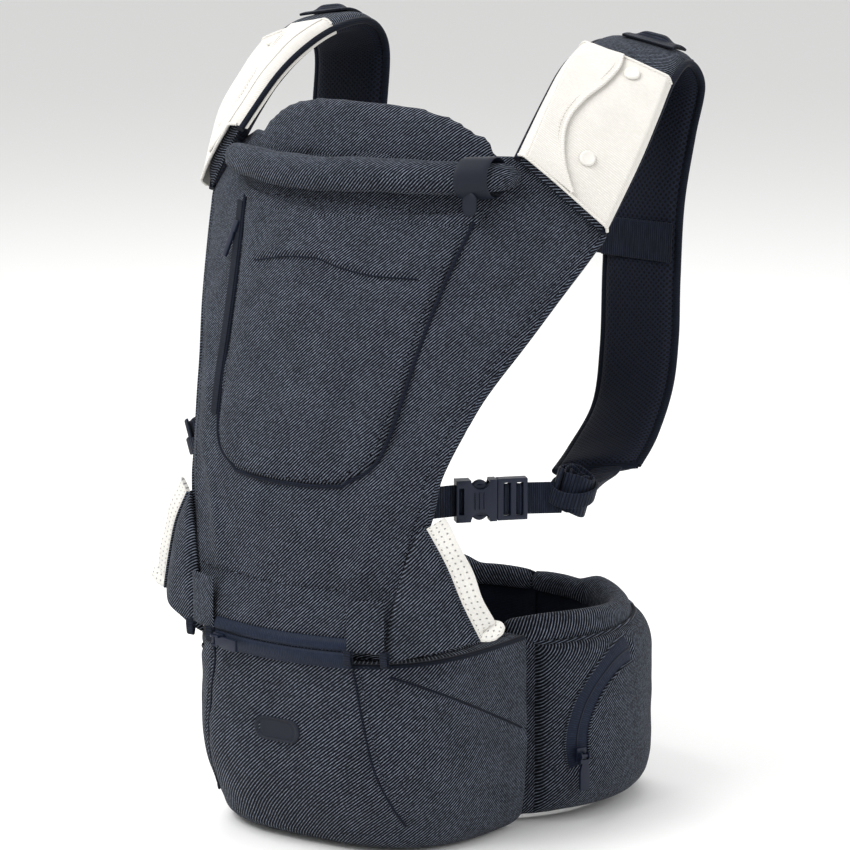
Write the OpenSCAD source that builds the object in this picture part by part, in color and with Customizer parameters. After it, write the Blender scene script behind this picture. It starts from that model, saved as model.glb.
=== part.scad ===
// Hip-seat baby carrier: seat and waist belt, front panel on a zip, two shoulder straps.
// The origin is the centre of the seat's flat base. +Z is up, the wearer stands at +Y,
// the front of the seat faces -Y, and the carrier's R side is at +X.

/* [Seat] */
// Height of the seat shelf above its base
seat_h = 165; // [150:1:185]
// Half width of the seat shelf
seat_half_w = 124; // [112:1:130]
// How far the shelf reaches in front of the base centre
seat_reach = 105; // [98:1:115]
// Wall of the fabric cover round the seat core
cover_wall = 5; // [3:0.5:6]
// Thickness of the padded shelf top
top_pad_t = 8; // [6:1:10]

/* [Belt] */
// Half width of the waist opening, side to side
waist_half_w = 122; // [112:1:130]
// Half depth of the waist opening, front to back
waist_half_d = 104; // [98:1:108]
// Thickness of the padded belt
belt_t = 22; // [18:1:26]
// Height of the belt's top edge at the sides
belt_h = 158; // [140:1:160]
// Width of the waist webbing
waist_web_w = 40; // [30:1:50]

/* [Panel] */
// Half width of the panel at the waist
waist_w = 115; // [108:1:120]
// Half width of the panel at the shoulder corners
shoulder_w = 189; // [180:1:195]
// Thickness of the padded panel
panel_t = 14; // [10:1:16]
// Thickness of the window pocket
window_t = 5; // [3:0.5:7]
// Height of the head support above its fold
head_rise = 50; // [40:1:60]
// Radius of the rolled hood
hood_r = 12; // [9:0.5:13]

/* [Straps] */
// Thickness of the padded shoulder strap
strap_t = 16; // [12:1:18]
// Thickness of the cotton strap covers
bib_t = 3; // [2:0.5:4]
// Width of the strap webbing
web_w = 25; // [20:1:28]
// Thickness of all webbing
web_t = 2.4; // [1.6:0.2:3]

/* [Buckles] */
// Width of a strap buckle across its prongs
buckle_w = 33; // [30:1:36]
// Thickness of a strap buckle
buckle_t = 11; // [10:0.5:13]
// Length of a strap buckle's socket
socket_len = 32; // [28:1:36]
// Wall of the buckles
buckle_wall = 2; // [1.6:0.2:2.4]

/* [Hidden] */

// Clearances: between soft pieces, and at the straps' sewn roots, which turn a little
soft_gap = 0.3;
root_gap = 9;

// Colours
twill = "#2b3447";
dark = "#1d2230";
plastic = "#30384a";
cotton = "#ece9e2";
mesh_white = "#f4f2ee";

// Curve of the panel: a cylinder of parabolic section that leans back above the waist
panel_curve = 0.00255;
panel_front = -seat_reach;
lean_z = 290;
lean_slope = 0.4;
lean_round = 50;
panel_z0 = seat_h + 13;
panel_top = 532;
corner_z = 483;
zip_z = seat_h + 4;
zip_half = 62;
zip_curve = 0.0024;

// Waist opening and belt, seen from above
ring_y = 147;
seam_angle = -44;
belt_end_angle = 80;

// Strap root hinge, the adjuster's hinge, and the direction in which the buckle leaves
strap_root = [160, 48, 512];
adjuster = [162, 50, 275];
lead_dir = [0.6816, 0.7317, 0];
lead_angle = atan2(lead_dir[1], lead_dir[0]);
buckle_at = [113, -26, 281];

// Edges of a shoulder strap at the middle of its thickness, from its root to its lower end
strap_inner = [
    [132, 28, 542], [128, 72, 580], [122, 108, 602], [118, 145, 613], [115, 182, 613],
    [114, 203, 592], [113, 200, 550], [113, 188, 490], [114, 182, 430], [116, 176, 370],
    [118, 162, 325], [120, 124, 296], [126, 92, 284]
];
strap_outer = [
    [189, 64, 483], [199, 95, 532], [198, 125, 565], [194, 155, 592], [189, 186, 602],
    [188, 207, 582], [184, 200, 542], [182, 188, 490], [182, 183, 430], [183, 180, 385],
    [183, 172, 345], [183, 150, 310], [182, 128, 290]
];

function lerp(a, b, t) = a + (b - a) * t;
function flat(rows) = [for (r = rows) for (p = r) p];
function unit(v) = v / norm(v);

// Catmull-Rom point at parameter u along a list of points, and a list of n + 1 such points
function spline_at(p, u) =
    let (m = len(p) - 1, i = min(floor(u), m - 1), t = u - i,
         a = p[max(i - 1, 0)], b = p[i], c = p[i + 1], d = p[min(i + 2, m)])
    0.5 * (2 * b + (c - a) * t + (2 * a - 5 * b + 4 * c - d) * t * t
        + (3 * b - a - 3 * c + d) * t * t * t);
function spline(p, n, u0 = 0, u1 = -1) =
    let (last = u1 < 0 ? len(p) - 1 : u1)
    [for (i = [0:n]) spline_at(p, lerp(u0, last, i / n))];

// Value at x of straight lines through [x, value] pairs
function table(pairs, x) =
    let (n = len(pairs) - 1, i = max([0, for (k = [0:n - 1]) if (x >= pairs[k][0]) k]),
         a = pairs[i], b = pairs[i + 1])
    lerp(a[1], b[1], min(1, max(0, (x - a[0]) / (b[0] - a[0]))));

// Closed solid between two grids of points; rows run up, columns run to +X, front faces -Y
module grid_solid(front, back) {
    nr = len(front);
    nc = len(front[0]);
    half = nr * nc;
    function f(i, j) = i * nc + j;
    function b(i, j) = half + i * nc + j;
    faces = concat(
        [for (i = [0:nr - 2]) for (j = [0:nc - 2]) each [
            [f(i, j), f(i + 1, j), f(i + 1, j + 1)], [f(i, j), f(i + 1, j + 1), f(i, j + 1)],
            [b(i, j), b(i + 1, j + 1), b(i + 1, j)], [b(i, j), b(i, j + 1), b(i + 1, j + 1)]]],
        [for (j = [0:nc - 2]) each [
            [f(0, j), f(0, j + 1), b(0, j + 1)], [f(0, j), b(0, j + 1), b(0, j)],
            [f(nr - 1, j + 1), f(nr - 1, j), b(nr - 1, j)],
            [f(nr - 1, j + 1), b(nr - 1, j), b(nr - 1, j + 1)]]],
        [for (i = [0:nr - 2]) each [
            [f(i + 1, 0), f(i, 0), b(i, 0)], [f(i + 1, 0), b(i, 0), b(i + 1, 0)],
            [f(i, nc - 1), f(i + 1, nc - 1), b(i + 1, nc - 1)],
            [f(i, nc - 1), b(i + 1, nc - 1), b(i, nc - 1)]]]);
    polyhedron(points = concat(flat(front), flat(back)), faces = faces);
}

// ---- Panel surface ----

function lean(z) = lean_slope * (z - lean_z + sqrt(pow(z - lean_z, 2) + pow(lean_round, 2))) / 2;
function panel_y(x, z, off = 0) = panel_front + lean(z) + panel_curve * x * x + off;
function panel_pt(x, z, off = 0) = [x, panel_y(x, z, off), z];

// Half width of the panel at a height
panel_edge = [
    [panel_z0, waist_w - 15], [278, waist_w], [304, waist_w + 2], [342, waist_w + 13],
    [368, waist_w + 22], [403, waist_w + 39], [435, lerp(waist_w, shoulder_w, 0.74)],
    [corner_z - 8, shoulder_w - 8], [panel_top, 124]
];
function panel_half(z) = table(panel_edge, z);

// A layer of the panel between two heights and two offsets, as wide as half(z)
module panel_layer(z0, z1, off0, off1, rows, cols, inset = 0) {
    function grid(off) = [for (i = [0:rows]) let (z = lerp(z0, z1, i / rows), w = panel_half(z) - inset)
        [for (j = [0:cols]) panel_pt(lerp(-w, w, j / cols), z, off)]];
    grid_solid(grid(off0), grid(off1));
}

// ---- Seat ----

// Plan of the seat: half of a cubic superellipse, from a foot (t = 0) out to the shelf (t = 1)
seat_side_y = 58;
seat_foot_y = -45;
belly_z = 72;
plan_power = 2 / 3;
function front_y(t) = lerp(seat_foot_y, -seat_reach, t);
function seat_outline(t, inset) =
    let (w = lerp(seat_half_w - 8, seat_half_w, t) - inset, y0 = front_y(t) + inset,
         side = seat_side_y - inset)
    [for (a = [180:9:360]) [w * sign(cos(a)) * pow(abs(cos(a)), plan_power),
                            lerp(side, y0, pow(abs(sin(a)), plan_power))]];

// Convex body of the seat with a rounded foot, shrunk by inset
module seat_body(inset, z0, z1) {
    foot = 14;
    hull() {
        translate([0, 0, z0])
            linear_extrude(0.01)
                polygon(seat_outline(0, inset + foot));
        translate([0, 0, z0 + foot])
            linear_extrude(0.01)
                polygon(seat_outline(0.3, inset));
        translate([0, 0, belly_z])
            linear_extrude(0.01)
                polygon(seat_outline(0.96, inset));
        translate([0, 0, z1 - 12])
            linear_extrude(0.01)
                polygon(seat_outline(1, inset));
        translate([0, 0, z1])
            linear_extrude(0.01)
                polygon(seat_outline(1, inset + 4));
    }
}

function ring_pt(a, grow) = [
    (waist_half_w + grow) * cos(a), ring_y + (waist_half_d + grow) * sin(a)];

// Upright strip of the waist ring between two angles and two growths of its outline
module ring_strip(a0, a1, g0, g1, z0, z1, n) {
    translate([0, 0, z0])
        linear_extrude(z1 - z0)
            polygon(concat([for (i = [0:n]) ring_pt(lerp(a0, a1, i / n), g0)],
                           [for (i = [n:-1:0]) ring_pt(lerp(a0, a1, i / n), g1)]));
}

belly_t = 12;
belly_front = belly_t + soft_gap;

// Everything outside the belly pad's front face
module behind_belly_cut(z0, z1) {
    translate([0, 0, z0])
        linear_extrude(z1 - z0)
            polygon([for (a = [0:10:350]) ring_pt(a, belly_front + soft_gap)]);
}

shelf_z = seat_h - top_pad_t;

// The room inside the cover, less a gap all round
module seat_room(gap)
    seat_body(cover_wall + gap, cover_wall - soft_gap, seat_h + 6);

core_z0 = cover_wall + 4 + soft_gap;
module seat_core() {
    color("#d9d4c7")
        difference() {
            intersection() {
                seat_room(soft_gap);
                translate([-200, -200, core_z0])
                    cube([400, 400, shelf_z - soft_gap - core_z0]);
            }
            behind_belly_cut(-1, seat_h + 1);
        }
}

board_t = 4 - soft_gap;
module seat_base_board() {
    color("#8b8f96")
        translate([0, 0, cover_wall])
            linear_extrude(board_t)
                difference() {
                    offset(delta = -16)
                        polygon(seat_outline(0, cover_wall));
                    polygon([for (a = [0:10:350]) ring_pt(a, belly_front + 4)]);
                }
}

module seat_cover() {
    color(twill)
        difference() {
            union() {
                seat_body(0, 0, shelf_z - soft_gap);
                for (s = [0, 1])
                    mirror([s, 0, 0])
                        ring_strip(-64, seam_angle - 1, soft_gap, belt_t + 8, 0, belt_h - 6, 6);
            }
            seat_room(0);
            behind_belly_cut(-1, seat_h + 1);
        }
}

module seat_top_pad() {
    color(twill)
        difference() {
            translate([0, 0, shelf_z])
                hull() {
                    linear_extrude(top_pad_t - 3)
                        polygon(seat_outline(1, 5));
                    linear_extrude(top_pad_t)
                        polygon(seat_outline(1, 11));
                }
            behind_belly_cut(shelf_z - 1, seat_h + 1);
        }
}

belly_rows = 6;
belly_cols = 12;
module belly_pad() {
    function half_angle(t) = 44 * sqrt(1 - pow(max(0, t - 0.6) / 0.52, 2));
    function grid(g) = [for (i = [0:belly_rows]) let (t = i / belly_rows)
        [for (j = [0:belly_cols])
            let (p = ring_pt(-90 + half_angle(t) * (2 * j / belly_cols - 1), g))
            [p[0], p[1], lerp(6, 236, t)]]];
    color(dark)
        grid_solid(grid(belly_t), grid(0));
}

badge_w = 44;
badge_h = 19;
badge_t = 2.5;
badge_z = 99;
module seat_badge() {
    y = front_y(0.96);
    color(dark)
        translate([0, y - 1.5, badge_z])
            rotate([90, 0, 0])
                linear_extrude(badge_t)
                    hull()
                        for (s = [-1, 1])
                            translate([s * (badge_w - badge_h) / 2, 0])
                                circle(d = badge_h, $fn = 24);
}

// ---- Zip between the panel and the seat ----

function zip_pt(x, off) = [x, panel_front - 3 + zip_curve * x * x + off];

// A strip that follows the zip line between two x positions, heights and depths
module zip_strip(x0, x1, z0, z1, off, t, n = 10) {
    translate([0, 0, z0])
        linear_extrude(z1 - z0)
            polygon(concat([for (i = [0:n]) zip_pt(lerp(x0, x1, i / n), off)],
                           [for (i = [n:-1:0]) zip_pt(lerp(x0, x1, i / n), off + t)]));
}

tape_h = 9;
tape_t = 1.6;
module seat_zip_tape() {
    color(plastic) {
        zip_strip(-zip_half, zip_half, zip_z - tape_h, zip_z - 0.4, -2.2, tape_t);
        zip_strip(-zip_half, zip_half, zip_z - 2.4, zip_z - 0.4, -3.2, 1.2);
    }
}

module panel_zip_tape() {
    color(plastic) {
        zip_strip(-zip_half, zip_half, zip_z + 0.4, zip_z + tape_h, -2.2, tape_t);
        zip_strip(-zip_half, zip_half, zip_z + 0.4, zip_z + 2.4, -3.2, 1.2);
    }
}

slider_len = 11;
slider_w = 9;
slider_t = 3;
puller_len = 28;
puller_w = 9;
puller_t = 2.6;
rivet_r = 1.6;
pin_gap = 0.25;
pin_reach = 4;
post_x = 1.9;
post_t = 1.2;
arm_x = 3.6;
arm_t = 1.8;
eye_r = 2.9;
neck_z = 6;

// Zip slider on a zip that runs along Z; two posts towards -Y carry its pin along X
module slider_body() {
    translate([-slider_w / 2, -slider_t, -slider_len / 2])
        cube([slider_w, slider_t, slider_len]);
    translate([0, -slider_t - pin_reach, 0])
        rotate([0, 90, 0])
            cylinder(r = rivet_r, h = puller_w, center = true, $fn = 24);
    for (s = [-1, 1])
        translate([s * post_x - post_t / 2, -slider_t - pin_reach, -1.5])
            cube([post_t, pin_reach + 0.2, 3]);
}

// Puller hanging from the pin towards -Z by two eyes outside the posts
module puller_body() {
    translate([0, -slider_t - pin_reach, 0])
        difference() {
            union() {
                hull() {
                    translate([-puller_w / 2, -puller_t / 2, -puller_len])
                        cube([puller_w, puller_t, puller_len - 12]);
                    translate([-2.2, -puller_t / 2, -neck_z])
                        cube([4.4, puller_t, 2]);
                }
                translate([-puller_w / 2, -puller_t / 2, -neck_z])
                    cube([puller_w, puller_t, 3]);
                for (s = [-1, 1]) {
                    translate([s * arm_x - arm_t / 2, -puller_t / 2, -neck_z])
                        cube([arm_t, puller_t, neck_z]);
                    translate([s * arm_x, 0, 0])
                        rotate([0, 90, 0])
                            cylinder(r = eye_r, h = arm_t, center = true, $fn = 32);
                }
            }
            rotate([0, 90, 0])
                cylinder(r = rivet_r + pin_gap, h = 2 * puller_w, center = true, $fn = 24);
        }
}

// The seat zip's slider is parked at the L end of the zip, wholly on the seat's half
slider_gap = 0.35;
seat_slider_gap = 1.1;
seat_slider_x = zip_half - 8;
module on_seat_zip()
    mirror([1, 0, 0])
        translate([seat_slider_x, zip_pt(seat_slider_x, -3.2 - seat_slider_gap)[1],
                   zip_z - 0.6 - slider_w / 2])
            rotate([0, 0, atan(2 * zip_curve * seat_slider_x)])
                rotate([0, 90, 0])
                    children();

module seat_zip_slider()
    color(plastic)
        on_seat_zip()
            slider_body();

module seat_zip_puller()
    color(plastic)
        on_seat_zip()
            puller_body();

// ---- Belt ----

// Padded belt side: from the side seam round to the back
module belt_pad_R() {
    color(twill)
        union() {
            ring_strip(seam_angle, 62, 3, belt_t - 2, 0, belt_h, 16);
            ring_strip(seam_angle + 12, 50, belt_t - 3, belt_t + 16, 10, belt_h - 12, 12);
        }
}

module belt_pad_L() {
    color(twill)
        mirror([1, 0, 0])
            union() {
                ring_strip(seam_angle, 62, 3, belt_t - 2, 0, belt_h, 16);
                ring_strip(seam_angle + 12, 50, belt_t - 3, belt_t + 12, 10, belt_h - 12, 12);
            }
}

// The lining runs on behind the waist buckle as a thin flap
lining_end = 88.4;
module belt_lining() {
    color(dark)
        ring_strip(seam_angle, lining_end, 0, 3 - soft_gap, 3, belt_h + 4, 20);
}

module belt_lining_R()
    belt_lining();

module belt_lining_L()
    mirror([1, 0, 0])
        belt_lining();

waist_web_t = 3;
waist_z = 84;
module waist_web_R() {
    color(dark)
        ring_strip(62.4, belt_end_angle, 8, 8 + waist_web_t, waist_z - waist_web_w / 2,
            waist_z + waist_web_w / 2, 6);
}

module waist_web_L() {
    color(dark)
        mirror([1, 0, 0])
            ring_strip(62.4, belt_end_angle, 8, 8 + waist_web_t, waist_z - waist_web_w / 2,
                waist_z + waist_web_w / 2, 6);
}

// Waist buckle at the back: the plug's tongue lies in the socket's slot
waist_y = ring_pt(90, 9.5)[1];
waist_body_w = waist_web_w + 10;
waist_body_t = 12;
waist_split = 3;
waist_end_x = ring_pt(belt_end_angle, 9.5)[0] - 2.4;
tongue_len = 16;
tongue_t = 4;
tongue_clear = 1.1;
module waist_plug() {
    color(plastic)
        translate([0, waist_y, waist_z]) {
            translate([waist_split, -waist_body_t / 2, -waist_body_w / 2])
                cube([waist_end_x - waist_split, waist_body_t, waist_body_w]);
            for (s = [-1, 1])
                translate([waist_split - tongue_len, -tongue_t / 2, s * waist_body_w / 3.4 - 4])
                    cube([tongue_len + 1, tongue_t, 8]);
            translate([waist_split - tongue_len + 2, -tongue_t / 2, -3])
                cube([tongue_len, tongue_t, 6]);
        }
}

module waist_socket() {
    color(plastic)
        translate([0, waist_y, waist_z])
            difference() {
                translate([-waist_end_x, -waist_body_t / 2, -waist_body_w / 2])
                    cube([waist_end_x + waist_split - 0.6, waist_body_t, waist_body_w]);
                translate([waist_split - tongue_len - 1, -tongue_t / 2 - tongue_clear,
                           -waist_body_w / 2 + 2.5])
                    cube([tongue_len + 4, tongue_t + 2 * tongue_clear, waist_body_w - 5]);
            }
}

// ---- Side pocket zip: an arc on the pocket's face ----

pocket_face = belt_t + 16 + soft_gap;
arc_r = 66;
arc_z = 66;
function pocket_xy(s, off) =
    let (a = -22 + s * 0.385, p = ring_pt(a, pocket_face + off)) p;

// Strip along the zip's arc: s along the face, z up, from radius r0 to r1
module arc_strip(r0, r1, off, t, n = 12) {
    function ring(r, o) = [for (i = [0:n])
        let (b = lerp(180, 96, i / n), s = arc_r + r * cos(b), p = pocket_xy(s, o))
        [p[0], p[1], arc_z + r * sin(b)]];
    grid_solid([ring(r0, off + t), ring(r1, off + t)], [ring(r0, off), ring(r1, off)]);
}

module pocket_zip_tape() {
    color(plastic)
        arc_strip(arc_r - 8, arc_r + 8, 0, 1.8);
}

pocket_turn = 69;
pocket_slider_at = concat(pocket_xy(0, 1.8 + slider_gap + 0.5), [arc_z - 8]);
module on_pocket_zip()
    translate(pocket_slider_at)
        rotate([0, 0, pocket_turn])
            children();

module pocket_zip_slider()
    color(plastic)
        on_pocket_zip()
            slider_body();

module pocket_zip_puller()
    color(plastic)
        on_pocket_zip()
            puller_body();

// ---- Panel pieces ----

module panel_cover() {
    color(twill)
        panel_layer(panel_z0, panel_top, 0, panel_t * 0.6, 14, 14);
}

module panel_lining() {
    color(dark)
        panel_layer(panel_z0, panel_top, panel_t * 0.6 + 2 * soft_gap, panel_t, 14, 14, 2);
}

window_edge = [[296, 52], [304, 70], [330, 82], [400, 92], [492, 112]];
module window_panel() {
    rows = 10;
    cols = 10;
    function grid(off) = [for (i = [0:rows])
        let (z = lerp(296, 498, i / rows), w = table(window_edge, z))
        [for (j = [0:cols]) panel_pt(lerp(-w, w, j / cols), z, off)]];
    color(twill)
        grid_solid(grid(-window_t), grid(-1));
}

// Zip tape along the window's L edge, with its puller near the top
module window_zip_tape() {
    rows = 8;
    function grid(off) = [for (i = [0:rows])
        let (z = lerp(330, 492, i / rows), w = table(window_edge, z) + 1.5)
        [for (x = [-w - 9, -w]) panel_pt(x, z, off)]];
    color(plastic)
        grid_solid(grid(-2.2), grid(-soft_gap));
}

window_slider_z = 470;
module window_zip_puller() {
    x = -table(window_edge, window_slider_z) - 6;
    color(plastic)
        translate([x, panel_y(x, window_slider_z) - 4, window_slider_z])
            rotate([-22, 0, -29])
                union() {
                    hull() {
                        translate([-3.5, -2.4, -26])
                            cube([7, 2.4, 16]);
                        translate([-2, -2.4, -4])
                            cube([4, 2.4, 1]);
                    }
                    translate([-4, -2.4, -5])
                        cube([8, 3, 9]);
                }
}

// Twill bands that carry the end loops of the zip, one at each side of it
module loop_band_R() {
    color(twill)
        zip_strip(zip_half + 2, zip_half + 30, zip_z + 0.5, zip_z + 40, -4.6, 2.6, 4);
}

module loop_band_L()
    mirror([1, 0, 0])
        loop_band_R();

// Wing beside the panel: from the panel's side out to the leg opening
wing_t = 5;
wing_rim = [[114, -68, 266], [129, -64, 242], [143, -58, 208], [160, -46, 169]];
wing_foot = 162;
function wing_in(t) =
    let (z = lerp(266, wing_foot, t), x = panel_half(z) - lerp(4, 14, t))
    panel_pt(x, z, -wing_t - 1.5);
function wing_out(t) = spline_at(wing_rim, 3 * t);
module wing_R() {
    rows = 8;
    cols = 5;
    function bulge(t, u) = -9 * sin(180 * u) * sin(100 * t);
    function grid(off) = [for (i = [rows:-1:0]) let (t = i / rows, a = wing_in(t), b = wing_out(t))
        [for (j = [0:cols]) let (u = j / cols, p = lerp(a, b, u))
            [p[0], p[1] + bulge(t, u) + off * (1 - 0.4 * u), p[2]]]];
    color(twill)
        grid_solid(grid(0), grid(wing_t));
}

module wing_L()
    mirror([1, 0, 0])
        wing_R();

// White mesh trim round the leg opening, outside the wing's rim
trim_w = 17;
trim_t = 4;
module leg_trim_R() {
    rows = 10;
    function grid(off) = [for (i = [rows:-1:0]) let (t = i / rows, p = wing_out(t))
        [for (w = [0.8, trim_w / 2, trim_w])
            [p[0] + w * lerp(0.7, 0.95, t), p[1] + w * 0.45 + off, p[2] + w * lerp(0.55, 0.1, t)]]];
    color(mesh_white)
        grid_solid(grid(-0.4), grid(trim_t - 0.4));
}

module leg_trim_L()
    mirror([1, 0, 0])
        leg_trim_R();

// ---- Buckles of the shoulder straps ----

// Places a piece with its X axis along the buckle, Y across its thickness, Z up
module at_buckle(along)
    translate(buckle_at + along * lead_dir)
        rotate([0, 0, lead_angle])
            children();

side_web_x = 98;
module side_web_R() {
    color(dark)
        hull() {
            at_buckle(0)
                translate([-3, -web_t / 2, -web_w / 2])
                    cube([2.6, web_t, web_w]);
            translate([side_web_x, panel_y(side_web_x, buckle_at[2], panel_t + 3), buckle_at[2] - web_w / 2])
                cube([2, web_t, web_w]);
        }
}

module side_web_L()
    mirror([1, 0, 0])
        side_web_R();

prong_len = 20;
prong_t = 4.6;
prong_clear = 1;
module strap_socket_R() {
    inside = buckle_w - 2 * buckle_wall;
    color(plastic)
        at_buckle(0)
            difference() {
                union() {
                    translate([0, -buckle_t / 2, -buckle_w / 2])
                        cube([socket_len, buckle_t, buckle_w]);
                }
                translate([10, -buckle_t / 2 + buckle_wall, -inside / 2])
                    cube([socket_len, buckle_t - 2 * buckle_wall, inside]);
                for (s = [-1, 1])
                    translate([socket_len / 2 + 3, 0, s * buckle_w / 2])
                        rotate([90, 0, 0])
                            cylinder(r = 7.5, h = buckle_t + 2, center = true, $fn = 48);
                translate([4, 0, 0])
                    cube([4, buckle_t + 2, web_w - 4], center = true);
            }
}

module strap_socket_L()
    mirror([1, 0, 0])
        strap_socket_R();

plug_gap = 0.5;
plug_len = 24;
module strap_plug_R() {
    inside = buckle_w - 2 * buckle_wall;
    color(plastic)
        at_buckle(socket_len + plug_gap) {
            difference() {
                translate([0, -buckle_t / 2 + 1, -buckle_w / 2])
                    cube([plug_len, buckle_t - 2, buckle_w]);
                for (x = [7, 17])
                    translate([x - 2, -buckle_t, -web_w / 2 - 0.5])
                        cube([5.4, 2 * buckle_t, web_w + 1]);
            }
            for (s = [-1, 1])
                translate([-prong_len, -prong_t / 2, s * (inside / 2 - 5) - 2.6])
                    cube([prong_len + 1, prong_t, 5.2]);
            translate([-prong_len + 4, -prong_t / 2, -2])
                cube([prong_len - 3, prong_t, 4]);
        }
}

module strap_plug_L()
    mirror([1, 0, 0])
        strap_plug_R();

// Webbing from the plug to the adjuster, with its tail rolled up
tail_r = 13;
tail_h = 34;
tail_tilt = 18;
lead_run = 27;
lead_start = socket_len + plug_gap + plug_len + 0.4;
module lead_web_R() {
    color(dark)
        at_buckle(lead_start)
            union() {
                translate([0, -web_t / 2, -web_w / 2])
                    cube([lead_run, web_t, web_w]);
                translate([lead_run + tail_r - 2, -2, -4])
                    rotate([0, tail_tilt, 0])
                        cylinder(r = tail_r, h = tail_h, center = true, $fn = 32);
            }
}

module lead_web_L()
    mirror([1, 0, 0])
        lead_web_R();

// ---- Head support and hood ----

head_z0 = panel_top + 1;
head_edge = [[0, 120], [0.35, 115], [0.7, 99], [0.9, 74], [1, 48]];
module head_support() {
    rows = 6;
    cols = 12;
    function grid(off) = [for (i = [0:rows]) let (t = i / rows, w = table(head_edge, t))
        [for (j = [0:cols]) let (x = lerp(-w, w, j / cols))
            panel_pt(x, head_z0 + t * head_rise - 0.0011 * x * x * t, off)]];
    color(twill)
        grid_solid(grid(1), grid(panel_t - 1));
}

hood_half = 140;
hood_z = 520;
hood_gap = 5;
module hood_roll() {
    n = 14;
    sides = 10;
    function at(i) = lerp(-hood_half, hood_half, i / n);
    function rad(x) = hood_r * (0.62 + 0.38 * sqrt(1 - pow(x / (hood_half + 6), 2)));
    function ring(i) = let (x = at(i), r = rad(x), c = panel_pt(x, hood_z, -hood_r - hood_gap))
        [for (k = [0:sides - 1]) [c[0], c[1] + r * cos(360 * k / sides), c[2] + 1.15 * r * sin(360 * k / sides)]];
    pts = [for (i = [0:n]) each ring(i)];
    last = n * sides;
    faces = concat(
        [for (i = [0:n - 1]) for (k = [0:sides - 1]) let (m = (k + 1) % sides) each [
            [i * sides + k, (i + 1) * sides + m, i * sides + m],
            [i * sides + k, (i + 1) * sides + k, (i + 1) * sides + m]]],
        [for (k = [1:sides - 2]) [0, k, k + 1]],
        [for (k = [1:sides - 2]) [last, last + k + 1, last + k]]);
    color(twill)
        polyhedron(points = pts, faces = faces);
}

tab_x0 = 100;
tab_x1 = 126;
module hood_tab() {
    tab_t = 2;
    cols = 3;
    function profile(x, g) =
        let (c = panel_pt(x, hood_z, -hood_r - hood_gap), r = hood_r + g)
        [for (a = [-160:20:160]) [c[0], c[1] - r * cos(a) * 1, c[2] + 1.15 * r * sin(a)]];
    function grid(g) = [for (j = [cols:-1:0]) profile(lerp(tab_x0, tab_x1, j / cols), g)];
    color(dark)
        grid_solid(grid(soft_gap + tab_t), grid(soft_gap));
}

// ---- Shoulder straps ----

strap_n = 26;
strap_cols = 3;
strap_last = len(strap_inner) - 1;

function strap_mid(u) = (spline_at(strap_inner, u) + spline_at(strap_outer, u)) / 2;
function strap_across(u) = unit(spline_at(strap_outer, u) - spline_at(strap_inner, u));
function strap_along(u) = unit(strap_mid(min(u + 0.05, strap_last)) - strap_mid(max(u - 0.05, 0)));
function strap_out(u) = unit(cross(strap_across(u), strap_along(u)));

// Point of the strap: u along it, v from 0 at the inner edge to 1 at the outer, off outwards
function strap_pt(u, v, off) =
    lerp(spline_at(strap_inner, u), spline_at(strap_outer, u), v) + off * strap_out(u);

// Layer of the strap between two stations, two shares of its width and two offsets
module strap_layer(u0, u1, v0, v1, off0, off1, n, cols = strap_cols, crown = 0) {
    function grid(off, c) = [for (i = [0:n]) let (u = lerp(u0, u1, i / n))
        [for (j = [0:cols]) strap_pt(u, lerp(v0, v1, j / cols), off + c * sin(180 * j / cols))]];
    grid_solid(grid(off1, crown), grid(off0, 0));
}

strap_u0 = root_gap / 56;
module strap_pad_R() {
    color(twill)
        strap_layer(strap_u0, strap_last, 0, 1, soft_gap / 2, strap_t / 2, strap_n);
}

module strap_mesh_R() {
    color(dark)
        strap_layer(strap_u0, strap_last, 0.02, 0.98, -strap_t / 2, -soft_gap / 2, strap_n);
}

bib_rows = 7;
bib_gap = 0.6;
bib_u1 = strap_u0 + bib_rows * (strap_last - strap_u0) / strap_n;
module bib_R() {
    color(cotton)
        strap_layer(strap_u0, bib_u1, 0, 1, strap_t / 2 + bib_gap, strap_t / 2 + bib_gap + bib_t, bib_rows);
}

snap_r = 6.5;
module bib_snaps_R() {
    color(cotton)
        for (s = [[0.72, 0.42], [3.0, 0.52]])
            let (p = strap_pt(s[0], s[1], strap_t / 2 + bib_t + bib_gap + 0.6), n = strap_out(s[0]))
                translate(p)
                    rotate([0, acos(n[2]), atan2(n[1], n[0])])
                        cylinder(r = snap_r, h = 2.4, $fn = 32);
}

module shoulder_tab_R() {
    color(dark)
        union() {
            strap_layer(3.7, 4.25, 0.3, 0.8, strap_t / 2 + soft_gap, strap_t / 2 + soft_gap + 2.4, 4, 2);
            strap_layer(3.85, 4.1, 0.42, 0.66, strap_t / 2 + 2, strap_t / 2 + 6, 3, 2);
        }
}

back_z = 458;
back_web = 25;
back_y = 174;
clasp_end = 22.6;
module back_strap_R() {
    color(dark)
        union() {
            strap_layer(7.3, 7.72, 0.04, 0.96, -strap_t / 2 - soft_gap - web_t, -strap_t / 2 - soft_gap, 3, 2);
            translate([clasp_end + soft_gap, back_y - web_t / 2, back_z - back_web / 2])
                cube([120 - clasp_end - soft_gap, web_t, back_web]);
        }
}

clasp_w = 34;
clasp_t = 9;
clasp_tongue = 15;
clasp_clear = 0.8;
module back_clasp_tongue() {
    color(plastic)
        translate([0, back_y, back_z]) {
            translate([4, -clasp_t / 2, -clasp_w / 2])
                cube([clasp_end - 4, clasp_t, clasp_w]);
            translate([4 - clasp_tongue, -1.5, -9])
                cube([clasp_tongue + 1, 3, 18]);
        }
}

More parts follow.
